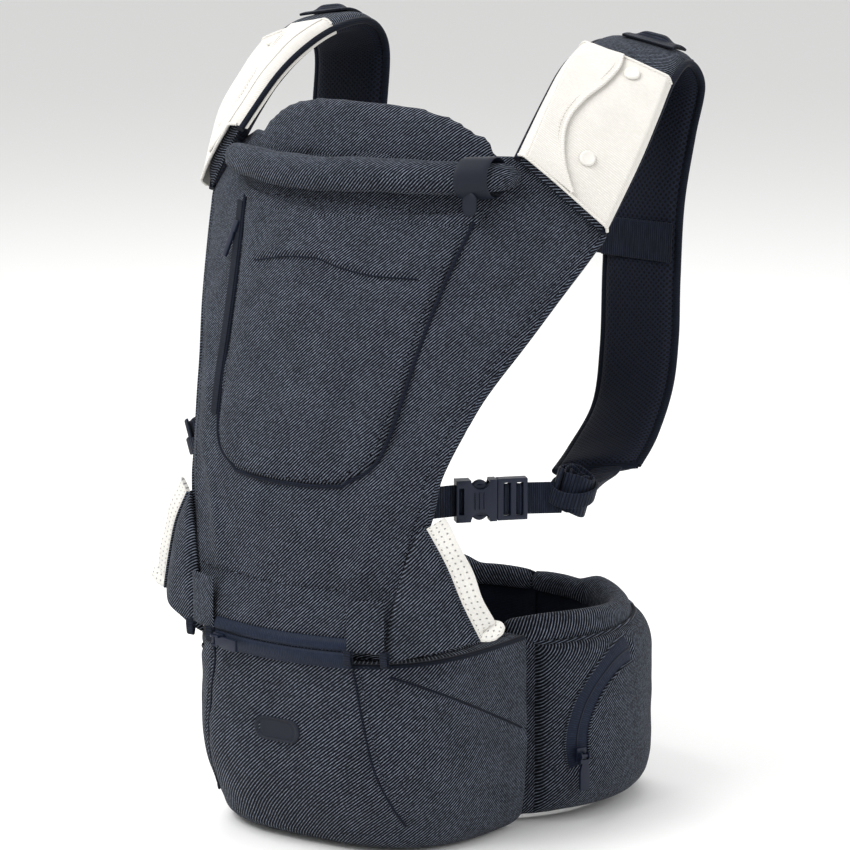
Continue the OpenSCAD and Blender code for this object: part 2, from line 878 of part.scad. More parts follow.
module back_clasp_channel() {
    color(plastic)
        translate([0, back_y, back_z])
            difference() {
                translate([-clasp_end, -clasp_t / 2, -clasp_w / 2])
                    cube([clasp_end + 2, clasp_t, clasp_w]);
                translate([-clasp_tongue + 2, -1.5 - clasp_clear, -clasp_w])
                    cube([30, 3 + 2 * clasp_clear, 2 * clasp_w]);
            }
}

// Webbing from the strap's lower end down towards the adjuster
module adjuster_web_R() {
    end = strap_pt(strap_last, 0.5, 0);
    color(dark)
        hull() {
            translate(end + [2, -2, -12])
                rotate([0, 0, 30])
                    cube([web_w, web_t, 6], center = true);
            translate([188, 74, 268])
                rotate([0, 0, 60])
                    cube([web_w * 0.8, web_t, 6], center = true);
        }
}

module adjuster_web_L()
    mirror([1, 0, 0])
        adjuster_web_R();

module strap_pad_L()
    mirror([1, 0, 0])
        strap_pad_R();

module strap_mesh_L()
    mirror([1, 0, 0])
        strap_mesh_R();

module bib_L()
    mirror([1, 0, 0])
        bib_R();

module bib_snaps_L()
    mirror([1, 0, 0])
        bib_snaps_R();

module shoulder_tab_L()
    mirror([1, 0, 0])
        shoulder_tab_R();

module back_strap_L()
    mirror([1, 0, 0])
        back_strap_R();

seat_core();
seat_base_board();
seat_cover();
seat_top_pad();
belly_pad();
seat_badge();
seat_zip_tape();
seat_zip_slider();
seat_zip_puller();
belt_pad_R();
belt_lining_R();
pocket_zip_tape();
pocket_zip_slider();
pocket_zip_puller();
waist_web_R();
waist_plug();
belt_pad_L();
belt_lining_L();
waist_web_L();
waist_socket();
panel_cover();
panel_lining();
window_panel();
window_zip_tape();
window_zip_puller();
panel_zip_tape();
loop_band_R();
loop_band_L();
wing_R();
wing_L();
leg_trim_R();
leg_trim_L();
side_web_R();
side_web_L();
strap_socket_R();
strap_socket_L();
head_support();
hood_roll();
hood_tab();
strap_pad_R();
strap_mesh_R();
bib_R();
bib_snaps_R();
shoulder_tab_R();
back_strap_R();
adjuster_web_R();
back_clasp_tongue();
lead_web_R();
strap_plug_R();
strap_pad_L();
strap_mesh_L();
bib_L();
bib_snaps_L();
shoulder_tab_L();
back_strap_L();
adjuster_web_L();
back_clasp_channel();
lead_web_L();
strap_plug_L();
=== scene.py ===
"""Hip-seat baby carrier: the visible cloth, webbing, zips and buckles round the fixed frame.

Shapes are worked out in millimetres and turned to metres when a mesh is written. The frame's
own origin is the centre of the seat's base, +Z is up and the wearer stands at +Y.
"""
import logging
import math
from dataclasses import dataclass
from enum import Enum
from typing import Callable, Sequence

import bpy
from mathutils import Matrix, Vector, noise


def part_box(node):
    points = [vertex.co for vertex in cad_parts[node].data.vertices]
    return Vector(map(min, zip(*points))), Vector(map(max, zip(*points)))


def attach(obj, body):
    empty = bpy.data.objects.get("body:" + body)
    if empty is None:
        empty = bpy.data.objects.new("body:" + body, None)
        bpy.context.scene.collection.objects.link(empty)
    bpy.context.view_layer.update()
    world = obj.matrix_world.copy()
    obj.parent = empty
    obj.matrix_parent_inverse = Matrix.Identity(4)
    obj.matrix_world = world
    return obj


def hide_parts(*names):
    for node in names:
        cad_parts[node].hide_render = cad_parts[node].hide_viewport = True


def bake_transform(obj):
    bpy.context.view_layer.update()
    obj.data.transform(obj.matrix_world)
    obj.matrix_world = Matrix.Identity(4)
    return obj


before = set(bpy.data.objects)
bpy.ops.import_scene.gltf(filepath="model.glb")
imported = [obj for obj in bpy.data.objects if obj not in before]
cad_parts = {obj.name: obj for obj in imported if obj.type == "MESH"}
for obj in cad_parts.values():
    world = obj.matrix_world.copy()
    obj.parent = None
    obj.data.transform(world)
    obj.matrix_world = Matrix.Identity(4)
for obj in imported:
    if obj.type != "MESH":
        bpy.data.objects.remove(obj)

LOG = logging.getLogger("carrier")
MM = 0.001
CLOTH_MAP = "cloth"
WAVE_TURN = math.pi / 10
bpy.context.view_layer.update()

Shape = Callable[[float, float, float], Vector]
Lay = Callable[[float, float], tuple[float, float]]
Obj = bpy.types.Object


class Side(Enum):
    """Side of the carrier, with the sign of its X."""

    R = 1
    L = -1


# ---------------------------------------------------------------- small helpers


def lerp(a: float, b: float, t: float) -> float:
    """Value a share t of the way from a to b."""
    return a + (b - a) * t


def clamp(x: float, low: float = 0.0, high: float = 1.0) -> float:
    """x held between low and high."""
    return max(low, min(high, x))


def smooth(x: float) -> float:
    """Smooth step from 0 to 1 as x goes from 0 to 1."""
    t = clamp(x)
    return t * t * (3 - 2 * t)


def table(pairs: Sequence[tuple[float, float]], x: float) -> float:
    """Value at x of a smooth curve through pairs.

    Args:
        pairs: places and values, in rising order of place.
        x: the place asked for.

    Returns:
        The value there, from a Catmull-Rom curve held at its ends.
    """
    if x <= pairs[0][0]:
        return pairs[0][1]
    if x >= pairs[-1][0]:
        return pairs[-1][1]
    i = max(k for k in range(len(pairs) - 1) if x >= pairs[k][0])
    x0, y0 = pairs[i]
    x1, y1 = pairs[i + 1]
    before = pairs[max(i - 1, 0)]
    after = pairs[min(i + 2, len(pairs) - 1)]
    span = x1 - x0
    m0 = (y1 - before[1]) / (x1 - before[0])
    m1 = (after[1] - y0) / (after[0] - x0)
    t = (x - x0) / span
    return ((2 * t**3 - 3 * t**2 + 1) * y0 + (t**3 - 2 * t**2 + t) * m0 * span
            + (-2 * t**3 + 3 * t**2) * y1 + (t**3 - t**2) * m1 * span)


def spline_at(points: Sequence[Vector], u: float) -> Vector:
    """Catmull-Rom point at parameter u, where whole numbers are the points themselves."""
    last = len(points) - 1
    i = min(int(max(u, 0.0)), last - 1)
    t = u - i
    a, b = points[max(i - 1, 0)], points[i]
    c, d = points[i + 1], points[min(i + 2, last)]
    return 0.5 * (2 * b + (c - a) * t + (2 * a - 5 * b + 4 * c - d) * t * t
                  + (3 * b - a - 3 * c + d) * t**3)


def vectors(rows: Sequence[Sequence[float]]) -> list[Vector]:
    """Rows of three numbers as vectors."""
    return [Vector(row) for row in rows]


def rough(p: Vector, size: float, seed: float = 0.0) -> float:
    """Smooth noise from -1 to 1 with lumps of a size in millimetres."""
    return noise.noise(Vector((p.x / size + seed, p.y / size, p.z / size)))


def round_edge(u: float, power: float = 10.0) -> float:
    """Thickness across a pad from 0 at its edges to 1 inside."""
    return math.sqrt(max(0.0, 1 - abs(2 * u - 1) ** power))


def mirror_x(p: Vector, side: Side) -> Vector:
    """Point p for a side: as it is at R, mirrored at L."""
    return Vector((side.value * p.x, p.y, p.z))


# ---------------------------------------------------------------- mesh tools


def only(obj: Obj) -> None:
    """Makes obj the one selected and active object."""
    for other in bpy.context.selected_objects:
        other.select_set(False)
    obj.select_set(True)
    bpy.context.view_layer.objects.active = obj


def deselect() -> None:
    """Leaves nothing selected, so that an operator acts on the new primitive only."""
    for other in bpy.context.selected_objects:
        other.select_set(False)


def edit(obj: Obj, *steps: Callable[[], object]) -> None:
    """Runs edit-mode steps on all of a mesh.

    Args:
        obj: the mesh object.
        steps: functions that call one operator each.
    """
    only(obj)
    bpy.ops.object.mode_set(mode="EDIT")
    bpy.ops.mesh.select_all(action="SELECT")
    for step in steps:
        step()
    bpy.ops.object.mode_set(mode="OBJECT")


def apply_modifier(obj: Obj, kind: str, **settings: object) -> None:
    """Adds a modifier with its settings and applies it.

    Args:
        obj: the mesh object.
        kind: name of the modifier's type.
        settings: values of its properties.
    """
    only(obj)
    made = obj.modifiers.new(kind.lower(), kind)
    for key, value in settings.items():
        setattr(made, key, value)
    bpy.ops.object.modifier_apply(modifier=made.name)


def smoothed(obj: Obj, level: int = 1, angle: float = 60.0) -> Obj:
    """Subdivides a mesh and shades it smooth below an angle."""
    if level:
        apply_modifier(obj, "SUBSURF", levels=level, render_levels=level)
    only(obj)
    bpy.ops.object.shade_smooth_by_angle(angle=math.radians(angle))
    return obj


def to_place(obj: Obj, place: Callable[[Vector], Vector]) -> None:
    """Moves each point of a mesh by a rule, and turns its faces outwards.

    Args:
        obj: the mesh object, at the origin.
        place: a point in millimetres from the mesh's own point.
    """
    for vertex in obj.data.vertices:
        vertex.co = place(vertex.co.copy()) * MM
    edit(obj, lambda: bpy.ops.mesh.remove_doubles(threshold=1e-5),
         lambda: bpy.ops.mesh.normals_make_consistent(inside=False))


def cloth_map(obj: Obj) -> bpy.types.MeshUVLoopLayer:
    """The mesh's map of places on the cloth."""
    layer = obj.data.uv_layers.active or obj.data.uv_layers.new(name=CLOTH_MAP)
    layer.name = CLOTH_MAP
    return layer


def write_uv(obj: Obj, lay: Callable[[Vector], tuple[float, float]]) -> None:
    """Gives a mesh a cloth map in metres, from each point's own place.

    Args:
        obj: the mesh object.
        lay: the place on the cloth, in millimetres, of a point in millimetres.
    """
    layer = cloth_map(obj)
    places = [lay(v.co / MM) for v in obj.data.vertices]
    for loop in obj.data.loops:
        s, t = places[loop.vertex_index]
        layer.data[loop.index].uv = (s * MM, t * MM)


def slanted(p: Vector) -> tuple[float, float]:
    """Place on the cloth for piping and stitches, which show only its colour and grain."""
    return p.x + 0.6 * p.y, p.z


def slab(name: str, nu: int, nv: int, shape: Shape, lay: Lay, level: int = 1,
         sides: int = 2) -> Obj:
    """Pad or strip: a flat grid given a thickness, then bent to its shape.

    Args:
        name: name of the piece.
        nu: faces along u.
        nv: faces along v.
        shape: point in millimetres at u and v, from 0 to 1, and w, from -1 to 1 through it.
        lay: place on the cloth in millimetres at u and v.
        level: subdivisions at the end.
        sides: faces across the thickness.

    Returns:
        The finished piece.
    """
    deselect()
    bpy.ops.mesh.primitive_grid_add(x_subdivisions=nu, y_subdivisions=nv, size=2)
    obj = bpy.context.active_object
    obj.name = name
    step = {"value": (0, 0, 2 / sides)}
    edit(obj, *[lambda: bpy.ops.mesh.extrude_region_move(TRANSFORM_OT_translate=step)] * sides)
    flat = {v.index: ((v.co.x + 1) / 2, (v.co.y + 1) / 2) for v in obj.data.vertices}
    layer = cloth_map(obj)
    for loop in obj.data.loops:
        s, t = lay(*flat[loop.vertex_index])
        layer.data[loop.index].uv = (s * MM, t * MM)
    to_place(obj, lambda p: shape((p.x + 1) / 2, (p.y + 1) / 2, p.z - 1))
    return smoothed(obj, level)


def tube(name: str, points: Sequence[Vector], radius: float, closed: bool = False,
         ring: int = 3) -> Obj:
    """Round tube along points in millimetres, as a mesh: piping, thread, and the dark lines that paint shade
    in seams and creases.
    """
    curve = bpy.data.curves.new(name, "CURVE")
    curve.dimensions = "3D"
    curve.bevel_depth = radius * MM
    curve.bevel_resolution = ring
    curve.use_fill_caps = True
    line = curve.splines.new("POLY")
    line.points.add(len(points) - 1)
    for spot, p in zip(line.points, points):
        spot.co = (*(p * MM), 1)
    line.use_cyclic_u = closed
    obj = bpy.data.objects.new(name, curve)
    bpy.context.collection.objects.link(obj)
    only(obj)
    bpy.ops.object.convert(target="MESH")
    edit(obj, lambda: bpy.ops.mesh.remove_doubles(threshold=1e-5),
         lambda: bpy.ops.mesh.normals_make_consistent(inside=False))
    write_uv(obj, slanted)
    return smoothed(obj, 0)


def box(name: str, size: Sequence[float], place: Matrix, bevel: float = 0.8,
        segments: int = 3) -> Obj:
    """Moulded block with rounded edges, in millimetres.

    Args:
        name: name of the piece.
        size: its three sides.
        place: where its centre goes and how it is turned.
        bevel: radius of its edges.
        segments: faces across each rounded edge.

    Returns:
        The block, with its place in its mesh.
    """
    deselect()
    bpy.ops.mesh.primitive_cube_add(size=1)
    obj = bpy.context.active_object
    obj.name = name
    for vertex in obj.data.vertices:
        vertex.co = Vector([c * s for c, s in zip(vertex.co, size)])
    edit(obj, lambda: bpy.ops.mesh.bevel(offset=bevel, segments=segments, affect="EDGES"))
    to_place(obj, lambda p: place @ p)
    return smoothed(obj, 0, 40)


def join(name: str, parts: Sequence[Obj]) -> Obj:
    """Joins separate closed parts of one moulding or one row into a piece."""
    only(parts[0])
    for part in parts[1:]:
        part.select_set(True)
    bpy.ops.object.join()
    obj = bpy.context.active_object
    obj.name = name
    return obj


def row(name: str, places: Sequence[Matrix], size: Sequence[float], bevel: float = 0.3) -> Obj:
    """Row of small equal blocks, such as stitches or zip teeth.

    Args:
        name: name of the piece.
        places: place and turn of each block.
        size: the block's sides in millimetres.
        bevel: its rounded edge.

    Returns:
        The whole row as one piece.
    """
    first = box(name, size, Matrix(), bevel, 1)
    verts = [v.co / MM for v in first.data.vertices]
    faces = [tuple(p.vertices) for p in first.data.polygons]
    mesh = bpy.data.meshes.new(name)
    points, loops = [], []
    for place in places:
        start = len(points)
        points += [(place @ v) * MM for v in verts]
        loops += [tuple(start + i for i in face) for face in faces]
    mesh.from_pydata(points, [], loops)
    bpy.data.objects.remove(first)
    obj = bpy.data.objects.new(name, mesh)
    bpy.context.collection.objects.link(obj)
    write_uv(obj, slanted)
    return smoothed(obj, 0, 40)


def along(points: Sequence[Vector], pitch: float, up: Callable[[Vector], Vector]) -> list[Matrix]:
    """Places at an even pitch along a line, each with its X along the line.

    Args:
        points: the line, in millimetres.
        pitch: distance between places.
        up: the outward direction at a point, which becomes each place's Z.

    Returns:
        One matrix for each place.
    """
    made, travelled = [], pitch / 2
    for a, b in zip(points, points[1:]):
        length = (b - a).length
        while travelled <= length and length > 0:
            spot = a.lerp(b, travelled / length)
            x = (b - a).normalized()
            z = up(spot)
            z = (z - x * z.dot(x)).normalized()
            y = z.cross(x)
            turn = Matrix((x, y, z)).transposed().to_4x4()
            made.append(Matrix.Translation(spot) @ turn)
            travelled += pitch
        travelled -= length
    return made


def puff(obj: Obj, voxel: float = 5.0, cap: float = 4.0, pressure: float = 4.0,
         frames: int = 20) -> None:
    """Fills a pad with cloth simulation and keeps the result in its mesh.

    Args:
        obj: the pad, slightly smaller than it ends up.
        voxel: size of the remeshed cloth in millimetres.
        cap: most that a point may move, in millimetres.
        pressure: filling pressure.
        frames: frames that the simulation runs.
    """
    apply_modifier(obj, "REMESH", mode="VOXEL", voxel_size=voxel * MM)
    start = [v.co.copy() for v in obj.data.vertices]
    cloth = obj.modifiers.new("filling", "CLOTH")
    cloth.settings.use_pressure = True
    cloth.settings.uniform_pressure_force = pressure
    cloth.settings.effector_weights.gravity = 0
    cloth.settings.quality = 5
    scene = bpy.context.scene
    for step in range(1, frames + 1):
        scene.frame_set(step)
    only(obj)
    bpy.ops.object.modifier_apply(modifier=cloth.name)
    scene.frame_set(1)
    for vertex, old in zip(obj.data.vertices, start):
        move = vertex.co - old
        if move.length > cap * MM:
            vertex.co = old + move.normalized() * cap * MM
    smoothed(obj, 1)


def finish(obj: Obj, look: "Finish", body: str, *nodes: str) -> Obj:
    """Dresses a piece, seats it on a body and hides the nodes that it stands for.

    Args:
        obj: the piece.
        look: its finish.
        body: the body that it moves with.
        nodes: the CAD nodes that it replaces.

    Returns:
        The same piece.
    """
    obj.data.materials.clear()
    obj.data.materials.append(look.material())
    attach(obj, body)
    if nodes:
        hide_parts(*nodes)
    LOG.info("%s rides on %s", obj.name, body)
    return obj


# ---------------------------------------------------------------- more forms


def wrap(name: str, nu: int, nv: int, surface: Callable[[float, float], Vector], lay: Lay,
         level: int = 1, angle: float = 60.0) -> Obj:
    """Closed skin: a grid bent until its two sides meet and its two ends close.

    Args:
        name: name of the piece.
        nu: faces round it.
        nv: faces from end to end.
        surface: point in millimetres at u round it and v along it; u = 0 and 1 are one place.
        lay: place on the cloth in millimetres at u and v.
        level: subdivisions at the end.
        angle: edges sharper than this stay sharp.

    Returns:
        The finished piece.
    """
    deselect()
    bpy.ops.mesh.primitive_grid_add(x_subdivisions=nu, y_subdivisions=nv, size=2)
    obj = bpy.context.active_object
    obj.name = name
    layer = cloth_map(obj)
    for loop in obj.data.loops:
        co = obj.data.vertices[loop.vertex_index].co
        s, t = lay((co.x + 1) / 2, (co.y + 1) / 2)
        layer.data[loop.index].uv = (s * MM, t * MM)
    to_place(obj, lambda p: surface((p.x + 1) / 2, (p.y + 1) / 2))
    return smoothed(obj, level, angle)


def rounded_copy(node: str, name: str, bevel: float = 0.6, segments: int = 3) -> Obj:
    """Copy of a moulded CAD node with the small radii that a mould leaves on its edges.

    Args:
        node: the node that is copied.
        name: name of the new piece.
        bevel: edge radius in millimetres.
        segments: faces across each edge.

    Returns:
        The rounded piece.
    """
    obj = bpy.data.objects.new(name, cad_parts[node].data.copy())
    bpy.context.collection.objects.link(obj)
    flat = math.radians(8)
    edit(obj, lambda: bpy.ops.mesh.remove_doubles(threshold=1e-6),
         lambda: bpy.ops.mesh.dissolve_limited(angle_limit=flat))
    apply_modifier(obj, "BEVEL", width=bevel * MM, segments=segments, limit_method="ANGLE",
                   angle_limit=math.radians(28), harden_normals=False)
    return smoothed(obj, 0, 40)


def flat_strip(name: str, line: Callable[[float], Vector], across: Callable[[float], Vector],
               width: float, thick: float, nu: int = 24, length: float = 100.0) -> Obj:
    """Webbing: a flat strip of one width and thickness along a line.

    Args:
        name: name of the piece.
        line: its middle, in millimetres, at u from 0 to 1.
        across: direction across its width at u.
        width: width in millimetres.
        thick: thickness in millimetres.
        nu: faces along it.
        length: its length in millimetres, for the weave's scale.

    Returns:
        The strip.
    """
    def shape(u: float, v: float, w: float) -> Vector:
        """Point of the strip, a little thinner at its selvedges."""
        side = across(u).normalized()
        step = line(min(u + 0.02, 1.0)) - line(max(u - 0.02, 0.0))
        out = step.cross(side).normalized()
        body = thick * (0.6 + 0.4 * round_edge(v, 8))
        return line(u) + side * (v - 0.5) * width + out * w * body / 2
    return slab(name, nu, 8, shape, lambda u, v: (u * length, v * width), 1)


def stitches(name: str, points: Sequence[Vector], up: Callable[[Vector], Vector],
             pitch: float = 3.6) -> Obj:
    """Row of lockstitches lying on the cloth along a line."""
    return row(name, along(points, pitch, up), (pitch * 0.66, 0.75, 0.6), 0.22)


def oval_disc(name: str, place: Matrix, half: Sequence[float], profile: Sequence[tuple[float, float]],
              nu: int = 48) -> Obj:
    """Moulded oval or round button from the section of its rim.

    Args:
        name: name of the piece.
        place: where its back's centre goes, with Z outwards.
        half: half width of the straight part and radius of the ends, in millimetres.
        profile: shares of the radius and heights, from the back's centre round to the front's.
        nu: faces round it.

    Returns:
        The button.
    """
    straight, radius = half

    def surface(u: float, v: float) -> Vector:
        """Point of the button's skin."""
        k = v * (len(profile) - 1)
        i = min(int(k), len(profile) - 2)
        share = lerp(profile[i][0], profile[i + 1][0], k - i)
        height = lerp(profile[i][1], profile[i + 1][1], k - i)
        a = 2 * math.pi * u
        mid = straight * share * (1 if math.cos(a) > 0 else -1) * min(1, abs(math.cos(a)) * 8)
        return place @ Vector((mid + radius * share * math.cos(a), radius * share * math.sin(a),
                               height))
    return wrap(name, nu, len(profile) - 1, surface, lambda u, v: (u * 60, v * 20), 1, 35)


# ---------------------------------------------------------------- finishes


def linear(code: str) -> tuple[float, float, float, float]:
    """Linear RGBA of an sRGB hex colour."""
    channels = [int(code[i:i + 2], 16) / 255 for i in (1, 3, 5)]
    return (*[c / 12.92 if c <= 0.04045 else ((c + 0.055) / 1.055) ** 2.4 for c in channels], 1.0)


def add(tree: bpy.types.NodeTree, kind: str, settings: dict, *links: tuple) -> bpy.types.Node:
    """Adds a node with its settings and links.

    Args:
        tree: the material's node tree.
        kind: the node's type, without its ShaderNode prefix.
        settings: values for its sockets and properties.
        links: pairs of one of its sockets and the output that feeds it.

    Returns:
        The node.
    """
    node = tree.nodes.new("ShaderNode" + kind)
    for key, value in settings.items():
        if isinstance(key, int) or key in node.inputs:
            node.inputs[key].default_value = value
        else:
            setattr(node, key, value)
    for key, source in links:
        tree.links.new(source, node.inputs[key])
    return node


@dataclass(frozen=True)
class Finish:
    """A real material: its name, the record's slot and its roughness."""

    name: str
    slot: str
    rough: float

    def material(self) -> bpy.types.Material:
        """The material, made once."""
        made = bpy.data.materials.get(self.name)
        if made is None:
            made = bpy.data.materials.new(self.name)
            made.use_nodes = True
            self.build(made.node_tree, made.node_tree.nodes["Principled BSDF"])
        return made

    def build(self, tree: bpy.types.NodeTree, skin: bpy.types.Node) -> None:
        """Adds the nodes of this finish and links them to the skin."""
        raise NotImplementedError

    def dress(self, tree: bpy.types.NodeTree, skin: bpy.types.Node, color: bpy.types.NodeSocket,
              height: bpy.types.NodeSocket, depth: float) -> None:
        """Links a colour and a relief in millimetres to the skin."""
        bump = add(tree, "Bump", {"Distance": depth * MM, "Strength": 1.0}, ("Height", height))
        skin.inputs["Roughness"].default_value = self.rough
        tree.links.new(color, skin.inputs["Base Color"])
        tree.links.new(bump.outputs[0], skin.inputs["Normal"])


@dataclass(frozen=True)
class Cloth(Finish):
    """Woven cloth: raised threads in even ribs over a darker ground, broken into dashes."""

    ground: str
    thread: str
    pitch: float
    angle: float = 45.0
    cover: float = 0.5
    dash: float = 5.0
    mottle: float = 0.14
    depth: float = 0.35
    sheen: float = 0.2

    def build(self, tree: bpy.types.NodeTree, skin: bpy.types.Node) -> None:
        """Ribs from a wave, dashes from stretched noise and slow changes of shade."""
        cloth = add(tree, "UVMap", {"uv_map": CLOTH_MAP}).outputs[0]
        turned = add(tree, "Mapping", {"Rotation": (0, 0, math.radians(self.angle))},
                     ("Vector", cloth)).outputs[0]
        ribs = add(tree, "TexWave",
                   {"wave_type": "BANDS", "bands_direction": "X", "Distortion": 0.6,
                    "Scale": WAVE_TURN / (self.pitch * MM), "Detail Scale": 1.5},
                   ("Vector", turned)).outputs["Fac"]
        raised = add(tree, "MapRange", {"interpolation_type": "SMOOTHSTEP",
                                        "From Min": 0.72 - self.cover, "From Max": 1.18 - self.cover},
                     ("Value", ribs)).outputs[0]
        spread = (1 / (self.pitch * 0.8 * MM), 1 / (self.dash * MM), 1.0)
        stretched = add(tree, "Mapping", {"Scale": spread}, ("Vector", turned)).outputs[0]
        breaks = add(tree, "TexNoise", {"Scale": 1.0, "Detail": 2.0, "Roughness": 0.6},
                     ("Vector", stretched)).outputs["Fac"]
        dashes = add(tree, "MapRange", {"From Min": 0.38, "From Max": 0.62, "To Min": 0.35},
                     ("Value", breaks)).outputs[0]
        lit = add(tree, "Math", {"operation": "MULTIPLY"}, (0, raised), (1, dashes)).outputs[0]
        woven = add(tree, "Mix", {"data_type": "RGBA", 6: linear(self.ground),
                                  7: linear(self.thread)}, (0, lit)).outputs[2]
        patches = add(tree, "TexNoise", {"Scale": 1 / (24 * MM), "Detail": 3.0},
                      ("Vector", cloth)).outputs["Fac"]
        shade = add(tree, "MapRange", {"From Min": 0.3, "From Max": 0.7, "To Min": 1 - self.mottle,
                                       "To Max": 1 + self.mottle}, ("Value", patches)).outputs[0]
        shaded = add(tree, "Mix", {"data_type": "RGBA", "blend_type": "MULTIPLY", 0: 1.0},
                     (6, woven), (7, shade)).outputs[2]
        skin.inputs["Sheen Weight"].default_value = self.sheen
        skin.inputs["Sheen Roughness"].default_value = 0.5
        skin.inputs["Specular IOR Level"].default_value = 0.08
        self.dress(tree, skin, shaded, lit, self.depth)


@dataclass(frozen=True)
class Netting(Finish):
    """Knitted spacer mesh: even rows of small round holes."""

    yarn: str
    hole: str
    pitch: float
    size: float
    angle: float = 45.0

    def build(self, tree: bpy.types.NodeTree, skin: bpy.types.Node) -> None:
        """Holes at the cell centres of an even grid, with a fine fuzz on the yarn."""
        cloth = add(tree, "UVMap", {"uv_map": CLOTH_MAP}).outputs[0]
        turned = add(tree, "Mapping", {"Rotation": (0, 0, math.radians(self.angle))},
                     ("Vector", cloth)).outputs[0]
        cells = add(tree, "TexVoronoi", {"voronoi_dimensions": "2D", "Randomness": 0.0,
                                         "Scale": 1 / (self.pitch * MM)},
                    ("Vector", turned)).outputs["Distance"]
        yarn = add(tree, "MapRange", {"interpolation_type": "SMOOTHSTEP",
                                      "From Min": self.size * 0.7, "From Max": self.size * 1.3},
                   ("Value", cells)).outputs[0]
        fuzz = add(tree, "TexNoise", {"Scale": 1 / (1.5 * MM), "Detail": 2.0},
                   ("Vector", cloth)).outputs["Fac"]
        soft = add(tree, "MapRange", {"To Min": 0.85, "To Max": 1.15}, ("Value", fuzz)).outputs[0]
        knit = add(tree, "Mix", {"data_type": "RGBA", 6: linear(self.hole), 7: linear(self.yarn)},
                   (0, yarn)).outputs[2]
        shaded = add(tree, "Mix", {"data_type": "RGBA", "blend_type": "MULTIPLY", 0: 1.0},
                     (6, knit), (7, soft)).outputs[2]
        skin.inputs["Specular IOR Level"].default_value = 0.2
        self.dress(tree, skin, shaded, yarn, 0.5)


@dataclass(frozen=True)
class Moulded(Finish):
    """Moulded plastic, rubber or foam: one colour with a fine spark-eroded grain."""

    color: str
    grain: float = 0.9
    depth: float = 0.05
    drift: float = 0.08

    def build(self, tree: bpy.types.NodeTree, skin: bpy.types.Node) -> None:
        """Grain as relief, and a slight drift of shade over the moulding."""
        place = add(tree, "TexCoord", {}).outputs["Object"]
        grain = add(tree, "TexNoise", {"Scale": 1 / (self.grain * MM), "Detail": 2.0},
                    ("Vector", place)).outputs["Fac"]
        slow = add(tree, "TexNoise", {"Scale": 1 / (14 * MM), "Detail": 2.0},
                   ("Vector", place)).outputs["Fac"]
        shade = add(tree, "MapRange", {"To Min": 1 - self.drift, "To Max": 1 + self.drift},
                    ("Value", slow)).outputs[0]
        color = add(tree, "Mix", {"data_type": "RGBA", "blend_type": "MULTIPLY", 0: 1.0,
                                  6: linear(self.color)}, (7, shade)).outputs[2]
        skin.inputs["Specular IOR Level"].default_value = 0.3
        self.dress(tree, skin, color, grain, self.depth)


# Yarn-dyed polyester twill: pale threads in steep lines over navy, as jeans cloth looks. Its lines
# are drawn 2 mm apart so that they show
TWILL = Cloth("denim_twill", "twill", 0.9, "#080b12", "#808897", 2.0, cover=0.12, dash=3.2, mottle=0.16,
              sheen=0.03)
# The same twill turned on the bias, for bands and bound edges, so its lines lie flatter. They are
# drawn 2 mm apart too
BIAS = Cloth("bias_twill", "twill", 0.9, "#080b12", "#6a7383", 2.0, angle=75.0, cover=0.15, dash=3.2,
             sheen=0.08)
# Plain nylon taffeta: near-black navy with only a trace of weave; drawn at 1.4 mm to show
# Its colour also serves as painted shade: dark tubes in the seat's seams and the window pocket's crease.
LINING = Cloth("nylon_taffeta", "lining", 0.72, "#0b0f18", "#161c2a", 1.4, angle=90.0, depth=0.1,
               sheen=0.05)
# Nylon webbing: cross ribs of 1.2 mm, drawn at 2 mm so that they show
WEBBING = Cloth("nylon_webbing", "webbing", 0.6, "#0b0f18", "#1e2535", 2.0, angle=0.0, cover=0.62,
                dash=12.0, depth=0.5, mottle=0.06, sheen=0.05)
# Brushed cotton jersey: warm white and very soft, its knit hardly seen though drawn at 1.6 mm
COTTON = Cloth("brushed_cotton", "cotton", 0.95, "#cbc8c2", "#dddad4", 1.6, angle=90.0, mottle=0.03,
               depth=0.12, sheen=0.35)
# Polyester zip tape: satin, finely ribbed along its length, the ribs drawn at 1.6 mm to show
TAPE = Cloth("polyester_zip_tape", "zip_tape", 0.5, "#161c2a", "#222a3c", 1.6, angle=90.0,
             depth=0.15, mottle=0.05, sheen=0.05)
# Black-navy 3D spacer mesh with diamond rows of holes 3.3 mm apart
SPACER = Netting("spacer_mesh", "strap_mesh", 0.8, "#141a29", "#030408", 3.3, 0.32)
# White knitted mesh with small grey eyelets 4.6 mm apart
LEG_NET = Netting("white_air_mesh", "leg_mesh", 0.9, "#d5d3ce", "#8d8c8b", 4.6, 0.14, 0.0)
# Moulded acetal: dark navy, satin from the mould's fine grain
ACETAL = Moulded("moulded_acetal", "plastic", 0.42, "#10182a")
# Soft PVC rubber: darker and duller than the acetal
RUBBER = Moulded("soft_rubber", "rubber", 0.62, "#0c1220", depth=0.03)
# White resin snap caps: smooth and a little glossy
RESIN = Moulded("white_resin", "snap", 0.28, "#d6d4ce", depth=0.01, drift=0.02)
# Polyurethane foam: pale, dull, open-celled
FOAM = Moulded("seat_foam", "foam", 0.95, "#cfc9bb", grain=1.6, depth=0.4)


# ---------------------------------------------------------------- shared geometry


def box_mm(node: str) -> tuple[Vector, Vector]:
    """Lowest and highest corners of a CAD node in millimetres."""
    low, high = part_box(node)
    return Vector(low) / MM, Vector(high) / MM


SEAT_TOP = box_mm("seat_top_pad")[1].z
PANEL_FOOT, PANEL_HEAD = (corner.z for corner in box_mm("panel_cover"))


ZIP_CURVE = 0.0024


def lean(z: float) -> float:
    """How far the panel lies back at a height."""
    rise = z - 290
    return 0.2 * (rise + math.hypot(rise, 50))


PANEL_FRONT = box_mm("panel_cover")[0].y - lean(PANEL_FOOT)


def on_panel(x: float, z: float, off: float = 0.0) -> Vector:
    """Point of the panel's curved surface, off millimetres behind its front."""
    return Vector((x, PANEL_FRONT + lean(z) + 0.00255 * x * x + off, z))


